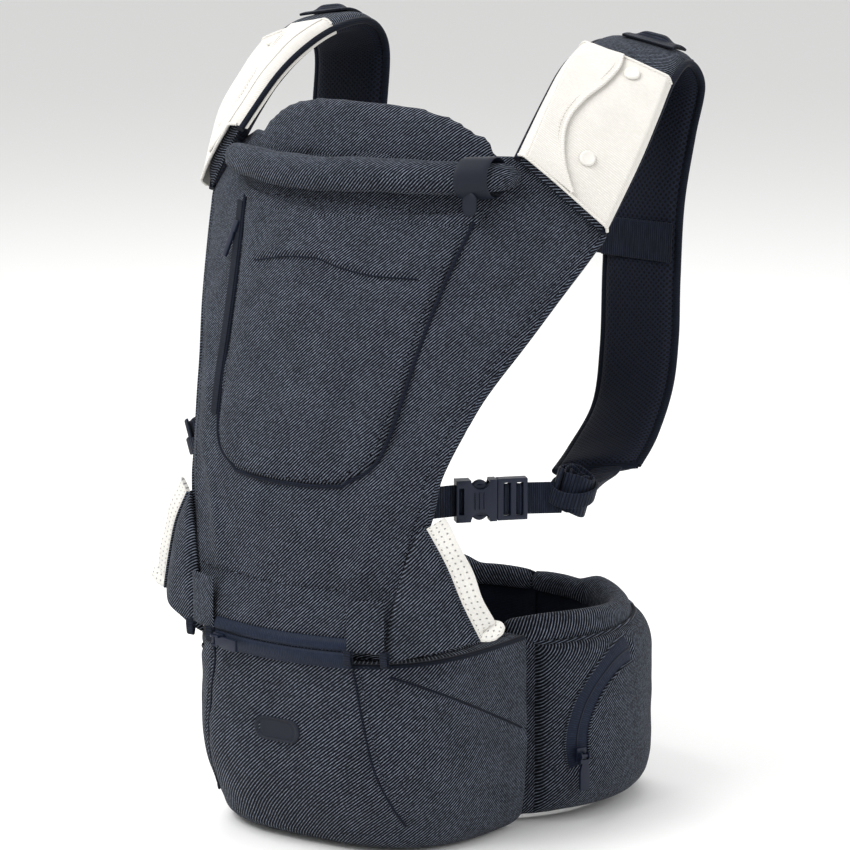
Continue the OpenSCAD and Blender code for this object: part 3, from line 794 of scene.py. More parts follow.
def panel_out(p: Vector) -> Vector:
    """Outward direction of the panel near a point."""
    tilt = 0.2 * (1 + (p.z - 290) / math.hypot(p.z - 290, 50))
    return Vector((0.0051 * p.x, -1, tilt)).normalized()


def unrolled(p: Vector) -> tuple[float, float]:
    """Place of a point of the panel on its cloth, laid flat."""
    return p.x + 4.3e-6 * p.x**3, 1.04 * p.z


def on_ring(angle: float, grow: float, z: float) -> Vector:
    """Point round the waist opening: an angle in degrees, a distance outwards and a height."""
    a = math.radians(angle)
    return Vector(((122 + grow) * math.cos(a), 147 + (104 + grow) * math.sin(a), z))


def ring_out(p: Vector) -> Vector:
    """Direction away from the middle of the waist opening."""
    return Vector((p.x, p.y - 147, 0)).normalized()


def line(count: int, point: Callable[[float], Vector]) -> list[Vector]:
    """Points of a line at even steps of a parameter from 0 to 1."""
    return [point(i / count) for i in range(count + 1)]


# ---------------------------------------------------------------- seat


@dataclass
class Seat:
    """The hip seat: its cover, shelf pad, belly pad, badge and the lower half of the zip."""

    half_w: float = 124.0
    shelf: float = 157.0
    skin: float = 3.0
    zip_z: float = 169.0
    zip_half: float = 62.0
    raised: float = 1.3
    girth: tuple = ((0, 0.45), (14, 0.55), (40, 0.8), (72, 0.97), (110, 1.0), (157, 1.0))
    section: tuple = ((0.0, 0.0, 10.0, 3.0), (0.08, 0.5, 12.0, 1.8), (0.16, 0.93, 14.0, 1.2),
                      (0.2, 1.0, 12.0, 1.6), (0.24, 1.0, 5.0, 5.0), (0.28, 1.0, 0.0, 13.0),
                      (0.86, 1.0, 0.0, 149.0), (0.89, 1.0, 0.3, 156.0), (0.92, 0.985, 2.0, 158.7),
                      (0.96, 0.6, 3.0, 158.9), (1.0, 0.0, 3.0, 158.9))
    seams: tuple = (((66, 158), (72, 120), (80, 75), (91, 26)),)

    def outline(self, s: float, t: float, inset: float) -> Vector:
        """Plan of the seat: s round its front from L to R, t from its foot up to the shelf."""
        a = math.pi * (1 + s)
        w = lerp(self.half_w - 8, self.half_w, t) - inset
        front = lerp(-45, PANEL_FRONT, t) + inset
        r = (abs(math.cos(a)) ** 3 + abs(math.sin(a)) ** 3) ** (-1 / 3)
        return Vector((w * r * math.cos(a), lerp(58 - inset, front, max(0.0, -r * math.sin(a))), 0))

    def wall(self, s: float, z: float, off: float = 0.0) -> Vector:
        """Point of the seat's wall at a height, off millimetres outwards, with its folds."""
        p = self.outline(s, table(self.girth, z), 0)
        p.z = z
        out = Vector((p.x, p.y - 40, 0)).normalized()
        return p + out * (off + self.relief(p))

    def relief(self, p: Vector) -> float:
        """Height of the cloth's folds and sunk seams at a point of the wall."""
        height = 2.2 * rough(p, 60, 3.0) + 1.1 * rough(p, 24, 9.0)
        for seam in self.seams:
            x = table([(z, x) for x, z in reversed(seam)], p.z)
            apart = abs(abs(p.x) - x)
            live = smooth((p.z - seam[-1][1]) / 12) * smooth((seam[0][1] + 8 - p.z) / 8)
            height -= live * (2.6 * math.exp(-(apart / 2.6) ** 2) - 1.0 * math.exp(-(apart / 11) ** 2))
        apart = 0.9 * (p.z - self.slant(p.y))
        live = smooth((abs(p.x) - 78) / 12)
        height -= live * (2.6 * math.exp(-(apart / 2.6) ** 2) - 1.0 * math.exp(-(apart / 11) ** 2))
        return max(-2.8, height) * smooth(p.z / 20) * smooth((self.shelf - p.z) / 12)

    def slant(self, y: float) -> float:
        """Height of the seam that falls towards the back along each side."""
        return 156 - 0.487 * (y + 95)

    def cover(self) -> Obj:
        """The sewn twill cover of the seat, closed under its base."""
        def shape(u: float, v: float, w: float) -> Vector:
            """Point of the cover's shell."""
            share, inset, z = [table([(row[0], row[k]) for row in self.section], v) for k in (1, 2, 3)]
            rim = self.outline(u, table(self.girth, z), inset)
            back = Vector((0, 29, 0))
            p = back.lerp(rim, share)
            p.z = z
            out = Vector((p.x, p.y - 40, 0)).normalized()
            if 0.2 < v < 0.92:
                return p + out * (self.relief(p) + (w - 1) * self.skin / 2)
            lift = (w + 1) * self.skin / 2
            return p + Vector((0, 0, lift if v < 0.5 else -lift))
        obj = slab("seat_cover_cloth", 88, 64, shape, lambda u, v: (u * 400, v * 210), 1)
        self.map_wall(obj)
        return finish(obj, TWILL, "root", "seat_cover")

    def map_wall(self, obj: Obj) -> None:
        """Lays the weave straight up the seat's wall."""
        write_uv(obj, lambda p: (math.atan2(p.x, 40 - p.y) * 122, p.z))

    def flank(self, side: Side) -> Obj:
        """Twill strip that joins the seat's side to the belt."""
        def shape(u: float, v: float, w: float) -> Vector:
            """Point of the padded strip."""
            z = lerp(0.5, 153, v)
            body = 12 * round_edge(v, 12)
            grow = 15 + w * body + (1.2 * rough(Vector((u * 40, 0, z)), 22, side.value) if w > 0 else 0)
            return mirror_x(on_ring(lerp(-66, -45.4, u), grow, z), side)
        obj = slab(f"side_panel_{side.name}", 10, 30, shape, lambda u, v: (u * 46, v * 153), 1)
        return finish(obj, TWILL, "root")

    def rear(self, side: Side) -> Obj:
        """Twill that closes the seat's rear beside the belly pad."""
        pull = ((0, 13), (6, 6), (14, 1), (150, 0.5), (157, 3))

        def shape(u: float, v: float, w: float) -> Vector:
            """Point of the flat strip."""
            z = lerp(0.6, 158, v)
            rim = self.outline(1, table(self.girth, z), table(pull, z))
            return mirror_x(Vector((lerp(82, rim.x, u), 56.8 + 0.9 * w, z)), side)
        obj = slab(f"seat_rear_{side.name}", 10, 30, shape, lambda u, v: (u * 40, v * 157), 1)
        return finish(obj, TWILL, "root")

    def shelf_pad(self) -> Obj:
        """Padded top of the shelf, filled by simulation."""
        def shape(u: float, v: float, w: float) -> Vector:
            """Point of the pad: v runs from its middle out to its edge."""
            rim = self.outline(u, 1, 7.5)
            back = Vector((0, 31, 0))
            p = back.lerp(rim, math.sqrt(v))
            body = 3.4 * round_edge(0.5 + 0.5 * v, 6) + 0.4
            p.z = 161 + w * body
            return p
        obj = slab("shelf_pad", 40, 16, shape, lambda u, v: (u, v), 0)
        puff(obj, 5, 2.0)
        for vertex in obj.data.vertices:
            vertex.co.z = clamp(vertex.co.z, 0.1573, (SEAT_TOP + 1.5) * MM)
        write_uv(obj, lambda p: (p.x, p.y))
        return finish(obj, TWILL, "root", "seat_top_pad")

    def belly(self) -> Obj:
        """Smooth padded pad against the wearer's belly."""
        def shape(u: float, v: float, w: float) -> Vector:
            """Point of the pad, narrower and round at its top."""
            half = 43 * math.sqrt(max(0.0, 1 - max(0.0, v - 0.6) ** 2 / 0.1681 * 0.96))
            body = 4.4 * round_edge(u, 6) * round_edge(v, 8) + 0.5
            return on_ring(-90 + half * (2 * u - 1), 6 + w * body, lerp(8, 234, v))
        obj = slab("belly_pad_cloth", 30, 36, shape, lambda u, v: (u * 180, v * 226), 0)
        puff(obj, 5, 1.8)
        write_uv(obj, lambda p: (math.atan2(p.x, 147 - p.y) * 110, p.z))
        return finish(obj, LINING, "root", "belly_pad")

    def belly_quilting(self) -> Obj:
        """Two stitched lines across the belly pad."""
        points = [line(40, lambda t, z=z: on_ring(-90 + 34 * (2 * t - 1), -0.9, z)) for z in (92, 170)]
        rows = [row(f"q{i}", along(p, 4, lambda q: -ring_out(q)), (2.6, 0.9, 0.8), 0.2)
                for i, p in enumerate(points)]
        return finish(join("belly_quilting", rows), TAPE, "root")

    def badge(self) -> Obj:
        """Plain oval rubber badge with a raised rim."""
        at = self.wall(0.5, 99, -0.5)
        place = Matrix.Translation(at) @ Matrix.Rotation(math.radians(90), 4, "X")
        rim = [(0, 0), (0.97, 0), (1.0, 0.5), (1.0, 2.2), (0.96, 2.9), (0.87, 2.9), (0.83, 2.3),
               (0.81, 1.9), (0.7, 1.9), (0.68, 2.15), (0.64, 2.15), (0.62, 1.9), (0, 1.9)]
        return finish(oval_disc("badge", place, (12.5, 9.5), rim, 64), RUBBER, "root", "seat_badge")

    def seam_spot(self, x: float, z: float, side: Side, off: float) -> Vector:
        """Point of the wall at a distance from its middle and a height."""
        w = lerp(self.half_w - 8, self.half_w, table(self.girth, z))
        k = clamp(x / w)
        s = 0.5 - math.atan2((1 - k**3) ** (1 / 3), k) / math.pi
        return self.wall(0.5 + side.value * s, z, off)

    def seam_lines(self) -> None:
        """Dark tubes in the sunk seams as painted shade, stitches beside them, and bound edges along shelf
        and foot.
        """
        for side in Side:
            sunk, sewn = [], []
            for k, seam in enumerate(self.seams):
                def spot(t: float, seam: tuple = seam, aside: float = 0.0) -> Vector:
                    """Point of the seam or beside it."""
                    z = lerp(seam[0][1] - 3, seam[-1][1], t)
                    x = table([(h, x) for x, h in reversed(seam)], z) + aside
                    return self.seam_spot(x, z, side, self.raised if aside == 0 else 0.2)
                # Near-black tube in the seam's groove: painted shade where the seam sinks.
                sunk.append(tube(f"d{k}", line(60, spot), 1.1))
                sewn.append(stitches(f"s{k}", line(60, lambda t: spot(t, aside=4.5)), self.wall_out))

            def falling(t: float, side: Side = side) -> Vector:
                """Point of the seam along the seat's side."""
                s = 0.5 + side.value * lerp(0.225, 0.485, t)
                return self.wall(s, min(154.0, self.slant(self.outline(s, 1, 0).y)), self.raised)
            # Near-black tube along the side seam: painted shade in its groove.
            sunk.append(tube("side", line(60, falling), 1.1))
            finish(join(f"seat_seam_shade_{side.name}", sunk), LINING, "root")
            finish(join(f"seat_stitching_{side.name}", sewn), BIAS, "root")
        edge = line(90, lambda s: self.outline(s, 1, 2.4) + Vector((0, 0, 156.4)))
        finish(tube("shelf_piping", edge, 2.6), LINING, "root")
        foot = line(90, lambda s: self.outline(s, 0.25, 11) + Vector((0, 0, 2.6)))
        finish(tube("foot_piping", foot, 1.8), LINING, "root")

    def wall_out(self, p: Vector) -> Vector:
        """Outward direction of the wall."""
        return Vector((p.x, p.y - 40, 0))

    def zip_at(self, x: float, off: float = 0.0) -> Vector:
        """Point of the zip's line."""
        return Vector((x, PANEL_FRONT - 3 + ZIP_CURVE * x * x + off, self.zip_z))

    def zip_side(self, name: str, up: float, wide: float, body: str, node: str) -> None:
        """One side of the hidden zip: a smooth tape that folds in at the closed slit.

        Args:
            name: first word of the piece's name.
            up: 1 for the upper side and -1 for the lower.
            wide: width of the tape in millimetres.
            body: the body that it moves with.
            node: the CAD tape that it replaces.
        """
        def shape(u: float, v: float, w: float) -> Vector:
            """Point of the tape, which tucks under the cloth at its far edge."""
            x = lerp(-self.zip_half - 3, self.zip_half + 3, u)
            fold = 1.6 * math.exp(-(v * wide / 1.3) ** 2)
            p = self.zip_at(x, -2.6 + fold + 4.0 * v**3 + 0.7 * w)
            return p + Vector((0, 0, up * (0.35 + v * wide)))
        obj = slab(name, 60, 14, shape, lambda u, v: (v * wide, u * 130), 1)
        finish(obj, TAPE, body, node)

    def build(self) -> None:
        """Builds the whole seat."""
        self.cover()
        for side in Side:
            self.flank(side)
            self.rear(side)
        self.shelf_pad()
        self.belly()
        self.belly_quilting()
        self.badge()
        self.seam_lines()
        self.zip_side("seat_zip_side", -1, 13.5, "root", "seat_zip_tape")
        self.zip_side("panel_zip_side", 1, 10, "panel", "panel_zip_tape")
        finish(rounded_copy("seat_zip_slider", "seat_slider_body", 0.5), ACETAL, "seat_slider",
               "seat_zip_slider")
        finish(rounded_copy("seat_zip_puller", "seat_puller_bar", 0.5), ACETAL, "seat_puller",
               "seat_zip_puller")


# ---------------------------------------------------------------- belt


@dataclass
class Belt:
    """One side of the waist belt: padded side, lining, pocket and waist webbing."""

    side: Side
    height: float = 158.0
    start: float = -44.0
    end: float = 62.0
    lining_end: float = 89.9
    deep: float = 20.5

    @property
    def body(self) -> str:
        """Body that the belt side moves with."""
        return f"belt_{self.side.name}"

    def at(self, angle: float, grow: float, z: float) -> Vector:
        """Point of the ring on this side."""
        return mirror_x(on_ring(angle, grow, z), self.side)

    def lay(self, p: Vector) -> tuple[float, float]:
        """Place of a point on the belt's cloth."""
        return math.atan2((p.y - 147) * 1.1, self.side.value * p.x) * 150 * self.side.value, p.z

    def out(self, p: Vector) -> Vector:
        """Outward direction of the belt."""
        return ring_out(p)

    def top(self, u: float) -> float:
        """Height of the belt's upper edge, which dips towards the back."""
        return lerp(self.height + 2, self.height - 5, smooth(u * 1.1)) + 1.2 * math.sin(9 * u)

    def pad(self) -> Obj:
        """Padded twill side, filled by simulation."""
        def shape(u: float, v: float, w: float) -> Vector:
            """Point of the pad."""
            body = 6.6 * round_edge(u, 10) * round_edge(v, 9) + 0.8
            return self.at(lerp(self.start + 0.6, self.end - 0.6, u), 11.4 + w * body,
                           lerp(1.5, self.top(u) - 1, v))
        obj = slab(f"belt_cloth_{self.side.name}", 60, 34, shape, lambda u, v: (u, v), 0)
        puff(obj, 6, 2.2)
        write_uv(obj, self.lay)
        return finish(obj, TWILL, self.body)

    def rim(self) -> Obj:
        """Thick rolled rim along the upper edge, in twill."""
        def shape(u: float, v: float, w: float) -> Vector:
            """Point of the rim, which rolls over the top."""
            a = lerp(self.start + 0.4, self.lining_end, u)
            thin = smooth((a - self.end + 3) / 9)
            turn = math.radians(lerp(-62, 235, v))
            swell = 1 + 0.05 * rough(Vector((u * 200, v * 10, 0)), 20, 4)
            r = (lerp(10.4, 6.4, thin) + w * 1.1) * swell * (0.75 + 0.25 * round_edge(u, 14))
            grow = lerp(10.6, 3.6, thin) + r * math.cos(turn) * 0.95
            return self.at(a, grow, self.top(u) - 8 + r * math.sin(turn) * 1.3)
        obj = slab(f"belt_rim_{self.side.name}", 76, 20, shape, lambda u, v: (u * 310, v * 34), 1)
        return finish(obj, TWILL, self.body, f"belt_pad_{self.side.name}")

    def lining(self) -> Obj:
        """Smooth lining on the wearer's side, with a soft bolster under the rim."""
        def shape(u: float, v: float, w: float) -> Vector:
            """Point of the lining."""
            puffed = 1.6 * math.sin(math.pi * clamp(v * 1.02)) ** 0.6
            wave = 0.7 * rough(Vector((u * 250, 0, v * 150)), 45, 8)
            under = 1.5 if self.side is Side.L else 0.0
            a = lerp(self.start + 0.3, self.lining_end + under, u)
            grow = 2.9 - puffed * 0.7 - wave * 0.5 + w * 0.5 - under * smooth((a - 86) / 3)
            return self.at(a, grow, lerp(2, self.top(u) + 1, v))
        obj = slab(f"belt_inner_{self.side.name}", 62, 26, shape,
                   lambda u, v: (u * 290, v * 160), 1)
        return finish(obj, LINING, self.body, f"belt_lining_{self.side.name}")

    def pouch(self, u: float, v: float) -> float:
        """How far the pocket stands proud of the belt."""
        return self.deep * round_edge(u, 7) * round_edge(v, 6)

    def pocket_at(self, angle: float, z: float, off: float = 0.0) -> Vector:
        """Point of the pocket's face."""
        u, v = (angle + 34) / 86, (z - 7) / 141
        p = self.at(angle, 0, z)
        crumple = 0.9 * rough(p, 34, 2.0) + 0.5 * rough(p, 15, 5.0)
        return self.at(angle, 17.8 + self.pouch(clamp(u), clamp(v)) + crumple + off, z)

    def pocket(self) -> Obj:
        """Bulging outer pocket of the belt side."""
        def shape(u: float, v: float, w: float) -> Vector:
            """Point of the pocket's body."""
            angle, z = lerp(-34, 52, u), lerp(7, 148, v)
            if w < 0:
                return self.at(angle, 17.0, z)
            full = self.pocket_at(angle, z, -self.groove(angle, z))
            return self.at(angle, 17.6, z).lerp(full, w)
        obj = slab(f"pocket_{self.side.name}", 64, 48, shape, lambda u, v: (u * 210, v * 141), 1)
        write_uv(obj, self.lay)
        return finish(obj, TWILL, self.body)

    def groove(self, angle: float, z: float) -> float:
        """Depth of the sunk channel that the zip of the R pocket lies in."""
        if self.side is Side.L:
            return 0.0
        s = (angle + 22) / 0.385
        reach = math.hypot(s - 66, z - 66)
        if s > 72 or z < 42:
            return 0.0
        return 2.0 * math.exp(-((reach - 66) / 8.5) ** 4)

    def arc(self, t: float, radius: float, off: float) -> Vector:
        """Point of the pocket zip's arc, t from its slider's end upwards."""
        b = math.radians(lerp(196, 90, t))
        s, z = 66 + radius * math.cos(b), 66 + radius * math.sin(b)
        return self.pocket_at(-22 + 0.385 * s, z, off)

    def pocket_zip(self) -> None:
        """Satin tapes, dark slit and cloth lips of the pocket's arc zip."""
        def tape(u: float, v: float, w: float) -> Vector:
            """Point of the tape."""
            return self.arc(u, lerp(56.5, 75.5, v), -0.6 + 0.5 * w)
        obj = slab("pocket_tape", 60, 8, tape, lambda u, v: (v * 16, u * 110), 1)
        finish(obj, TAPE, self.body, "pocket_zip_tape")
        slit = line(90, lambda t: self.arc(t, 66, -0.1))
        finish(tube("pocket_slit", slit, 0.7), RUBBER, self.body)
        for name, radius in (("inner", 55.5), ("outer", 76.5)):
            finish(tube(f"pocket_lip_{name}", line(60, lambda t, r=radius: self.arc(t, r, 0.2)), 1.1),
                   BIAS, self.body)
        finish(rounded_copy("pocket_zip_slider", "pocket_slider_body", 0.5), ACETAL, "pocket_slider",
               "pocket_zip_slider")
        finish(rounded_copy("pocket_zip_puller", "pocket_puller_bar", 0.5), ACETAL, "pocket_puller",
               "pocket_zip_puller")

    def webbing(self) -> None:
        """Waist webbing and this side's half of the buckle."""
        name = self.side.name
        obj = flat_strip(f"waist_webbing_{name}", lambda u: self.at(lerp(56, 80, u), 9.6, 84),
                         lambda u: Vector((0, 0, 1)), 40, 2.4, 20, 60)
        finish(obj, WEBBING, self.body, f"waist_web_{name}")
        node = "waist_plug" if self.side is Side.R else "waist_socket"
        finish(rounded_copy(node, node + "_moulding", 1.2), ACETAL, self.body, node)

    def seams(self) -> None:
        """Piping down the belt's front seam and along the pocket's top, and stitches by the rim."""
        name = self.side.name
        edge = line(40, lambda t: self.at(self.start + 1.2, 14.8, lerp(4, 150, t)))
        under = line(60, lambda t: self.pocket_at(lerp(-34, 52, t), 147, 0.4))
        finish(join(f"belt_piping_{name}", [tube("a", edge, 1.7), tube("b", under, 1.5)]), BIAS,
               self.body)
        near = line(70, lambda t: self.at(lerp(self.start + 3, self.end - 3, t), 21.2,
                                          self.top(t) - 12))
        finish(stitches(f"belt_stitching_{name}", near, self.out), BIAS, self.body)

    def build(self) -> None:
        """Builds this side of the belt."""
        self.pad()
        self.rim()
        self.lining()
        self.pocket()
        self.webbing()
        self.seams()
        if self.side is Side.R:
            self.pocket_zip()


# ---------------------------------------------------------------- panel


@dataclass
class Panel:
    """The front panel: padded twill, lining, window pocket, bands and edge piping."""

    edge: tuple = ((178, 101), (230, 106), (278, 115.5), (304, 118), (342, 129), (368, 138),
                   (403, 155), (435, 169), (470, 184), (483, 188), (500, 178), (519, 165),
                   (532, 142), (541, 124))
    narrow: float = 0.955
    pocket_edge: tuple = ((294, 40), (297, 54), (303, 68), (315, 77), (330, 82), (360, 87), (400, 92),
                          (450, 101), (497, 113))
    back: float = 8.2

    def half(self, z: float) -> float:
        """Half width at a height."""
        return table(self.edge, z)

    def folds(self, p: Vector) -> float:
        """Height of the cloth's soft folds at a point."""
        height = 3.0 * rough(p, 58, 1.0) + 1.5 * rough(p, 26, 6.0)
        stitch = math.exp(-((p.z - 213 - 0.02 * p.x) / 3.0) ** 2) * smooth((96 - abs(p.x)) / 10)
        sweep = 0.0
        for x0, z0, slope, size in ((92, 300, 0.42, 3.0), (104, 345, 0.62, 2.8), (70, 238, 0.2, 2.4)):
            apart = (abs(p.x) - x0) - slope * (p.z - z0)
            sweep += size * math.exp(-(apart / 7) ** 2) * math.exp(-((p.z - z0) / 60) ** 2)
        gather = 1.5 * math.sin(p.x / 6.5 + 0.8 * math.sin(p.z / 18)) * smooth((200 - p.z) / 22)
        return height + sweep + gather - 1.8 * stitch

    def face(self, x: float, z: float, off: float = 0.0) -> Vector:
        """Point of the panel's outer face, off millimetres outwards."""
        w = self.half(z)
        u = clamp(0.5 + 0.5 * x / w)
        p = on_panel(x, z, 0)
        calm = smooth((z - PANEL_FOOT) / 14)
        full = 4.2 * (1 - round_edge(u, 12))
        swing = 5.5 * smooth((206 - z) / 28) * smooth((100 - abs(x)) / 30)
        return on_panel(x, z, full - calm * self.folds(p) - swing - off)

    def cover(self) -> Obj:
        """Padded twill front of the panel."""
        def shape(u: float, v: float, w: float) -> Vector:
            """Point of the panel's pad."""
            x = self.half(lerp(PANEL_FOOT + 0.5, 541, v)) * (2 * u - 1)
            z = lerp(PANEL_FOOT + 0.5 - 7 * smooth((abs(x) - 62) / 6), 541, v)
            front = self.face(x, z)
            rear = on_panel(x, z, lerp(4.6, self.back, round_edge(u, 12)))
            return rear.lerp(front, (w + 1) / 2)
        obj = slab("panel_cloth", 64, 92, shape, lambda u, v: (0, 0), 1)
        write_uv(obj, unrolled)
        return finish(obj, TWILL, "panel", "panel_cover")

    def lining(self) -> Obj:
        """Smooth lining on the side of the baby."""
        def shape(u: float, v: float, w: float) -> Vector:
            """Point of the lining's pad."""
            z = lerp(SEAT_TOP + 1.8, 531, v)
            x = (self.half(z) - 2.5) * (2 * u - 1)
            p = on_panel(x, z, 0)
            full = round_edge(u, 10) * round_edge(v, 14)
            depth = lerp(9.6, 13.0, full) + 0.9 * rough(p, 50, 7)
            return on_panel(x, z, lerp(9.0, depth, (w + 1) / 2))
        obj = slab("panel_inner", 40, 56, shape, lambda u, v: (0, 0), 1)
        write_uv(obj, lambda p: (p.x, p.z))
        return finish(obj, LINING, "panel", "panel_lining")

    def edges(self) -> None:
        """Bound side edges and the stitches just inside them."""
        for side in Side:
            def rim(t: float, side: Side = side) -> Vector:
                """Point of the panel's side edge."""
                z = lerp(PANEL_FOOT + 2, 484, t)
                return on_panel(side.value * (self.half(z) - 1.2), z, 4.8)

            def inside(t: float, side: Side = side) -> Vector:
                """Point of the stitch line inside the edge."""
                z = lerp(PANEL_FOOT + 4, 478, t)
                return self.face(side.value * (self.half(z) - 8), z, 0.25)
            finish(tube(f"panel_binding_{side.name}", line(90, rim), 2.3), BIAS, "panel")
            finish(stitches(f"panel_stitching_{side.name}", line(120, inside), panel_out), BIAS,
                   "panel")
        across = line(60, lambda t: self.face(lerp(-92, 92, t), 215.5, 0.25))
        above = line(80, lambda t: self.face(lerp(-118, 118, t), 502 - 0.0004 * lerp(-118, 118, t) ** 2,
                                             0.25))
        rows = [stitches("a", across, panel_out), stitches("b", above, panel_out)]
        finish(join("panel_topstitching", rows), BIAS, "panel")

    def pocket_half(self, z: float, x: float) -> float:
        """Half width of the pocket at a height, a little less at R."""
        return table(self.pocket_edge, z) * (self.narrow if x > 0 else 1)

    def crease(self, x: float) -> float:
        """Height of the soft fold across the pocket."""
        return 465 - 0.12 * abs(x + 6) - 2.5 * math.sin(x / 21)

    def pocket_face(self, x: float, z: float, off: float = 0.0) -> Vector:
        """Point of the window pocket's outer face."""
        w = self.pocket_half(z, x)
        u, v = clamp(0.5 + 0.5 * x / w), clamp((z - 294) / 203)
        full = round_edge(u, 8) * round_edge(v, 9)
        p = on_panel(x, z, 0)
        ridge = z - self.crease(x)
        fold = 3.6 * math.exp(-(ridge / 5) ** 2) - 3.2 * math.exp(-((ridge + 9) / 6) ** 2)
        fold *= smooth((88 - abs(x)) / 26)
        lumps = 2.2 * rough(p, 48, 12) + 1.1 * rough(p, 20, 15)
        slump = 1.5 * math.exp(-((z - 330) / 26) ** 2)
        return on_panel(x, z, 0.4 - full * (6.2 + lumps + fold + slump) - off)

    def pocket(self) -> Obj:
        """Window pocket: a flat padded bag with a round foot."""
        def shape(u: float, v: float, w: float) -> Vector:
            """Point of the pocket."""
            z = lerp(294, 497, v)
            x = self.pocket_half(z, u - 0.5) * (2 * u - 1)
            rise = 3.0 * (x / 60) ** 2 * smooth((322 - z) / 28)
            front = self.pocket_face(x, z)
            rear = on_panel(x, z, 2.0)
            p = rear.lerp(front, (w + 1) / 2)
            return p + Vector((0, 0, rise))
        obj = slab("window_pocket", 52, 58, shape, lambda u, v: (0, 0), 1)
        write_uv(obj, unrolled)
        return finish(obj, TWILL, "panel", "window_panel")

    def pocket_rim(self, t: float) -> Vector:
        """Point of the pocket's outline, from its L top round its foot to its R top."""
        side = -1 if t < 0.5 else 1
        k = abs(2 * t - 1)
        if k < 0.22:
            x = side * 52 * k / 0.22
            return on_panel(x, 293.4 + 3.0 * (x / 60) ** 2, -1.0)
        z = lerp(297, 493, (k - 0.22) / 0.78)
        x = side * (self.pocket_half(z, side) + 1.2)
        return on_panel(x, z + 3.0 * (x / 60) ** 2 * smooth((322 - z) / 28), -1.2)

    def pocket_trim(self) -> None:
        """A dark tube round the pocket's outline, a thin dark tube in its crease as painted shade, its top
        seam and the zip down its L edge.
        """
        outline = line(150, self.pocket_rim)
        # A dark tube along the pocket's whole outline.
        finish(tube("pocket_outline_tube", outline, 1.7), LINING, "panel")
        # Thin dark tube just under the crease of the pocket's fold: painted shade in the fold.
        creased = line(60, lambda t: Vector((lerp(-74, 80, t), 0, self.crease(lerp(-74, 80, t)) - 5.5)))
        fold = [self.pocket_face(p.x, p.z, 0.1) for p in creased]
        finish(tube("pocket_fold_shade", fold, 0.8), LINING, "panel")
        near = [self.pocket_face(0.94 * p.x, lerp(p.z, 395, 0.05), 0.3) for p in outline[8:-8]]
        finish(stitches("pocket_stitching", near, panel_out), BIAS, "panel")

        def seam(u: float, v: float, w: float) -> Vector:
            """Point of the band that closes the pocket's top."""
            x = lerp(-115, 115, u)
            z = 490.5 + 0.0005 * x * x + 9 * (v - 0.5)
            body = 1.3 + 0.5 * math.sin(math.pi * v)
            return on_panel(x, z, -1.6 - w * body * round_edge(u, 20))
        obj = slab("pocket_top_band", 60, 6, seam, lambda u, v: (u * 230, v * 9), 1)
        finish(obj, TWILL, "panel")

        def tape(u: float, v: float, w: float) -> Vector:
            """Point of the zip tape beside the pocket."""
            z = lerp(332, 489, u)
            x = -table(self.pocket_edge, z) - lerp(1.5, 11, v)
            calm = smooth((z - PANEL_FOOT) / 14)
            return on_panel(x, z, -1.9 - calm * 1.4 - 0.7 * w)
        obj = slab("window_tape", 60, 6, tape, lambda u, v: (v * 10, u * 160), 1)
        finish(obj, LINING, "panel", "window_zip_tape")
        finish(rounded_copy("window_zip_puller", "window_puller_bar", 0.6), ACETAL, "window_slider",
               "window_zip_puller")

    def bands(self) -> None:
        """Upright bands at the zip's ends, each with a small webbing loop under it."""
        for side in Side:
            def shape(u: float, v: float, w: float, side: Side = side) -> Vector:
                """Point of the folded band."""
                x = lerp(64, 92, u)
                z = lerp(169.5, 211, v)
                off = -3 + ZIP_CURVE * x * x - 3.4
                lift = 1.2 * round_edge(u, 6) * round_edge(v, 12) + 0.2
                wave = 0.7 * rough(Vector((x, 0, z)), 14, side.value)
                return Vector((side.value * x, PANEL_FRONT + off - wave - w * lift, z))
            obj = slab(f"zip_band_{side.name}", 14, 20, shape, lambda u, v: (u * 28, v * 42), 1)
            finish(obj, TWILL, "panel", f"loop_band_{side.name}")
            made = []
            for x in (66.5, 93.5):
                def loop(t: float, x: float = x, side: Side = side) -> Vector:
                    """Point of a loop of narrow webbing that hangs below the band."""
                    turn = math.pi * (1 - t)
                    y = PANEL_FRONT - 3 + ZIP_CURVE * x * x - 5.4 - 2.2 * math.cos(turn)
                    return Vector((side.value * x, y, 172 - 13 * math.sin(turn)))
                made.append(flat_strip(f"l{x}", loop, lambda t: Vector((1, 0, 0)), 6.5, 1.1, 18, 36))
            finish(join(f"zip_loops_{side.name}", made), WEBBING, "panel")

    def build(self) -> None:
        """Builds the panel."""
        self.cover()
        self.lining()
        self.edges()
        self.pocket()
        self.pocket_trim()
        self.bands()


# ---------------------------------------------------------------- sides of the panel


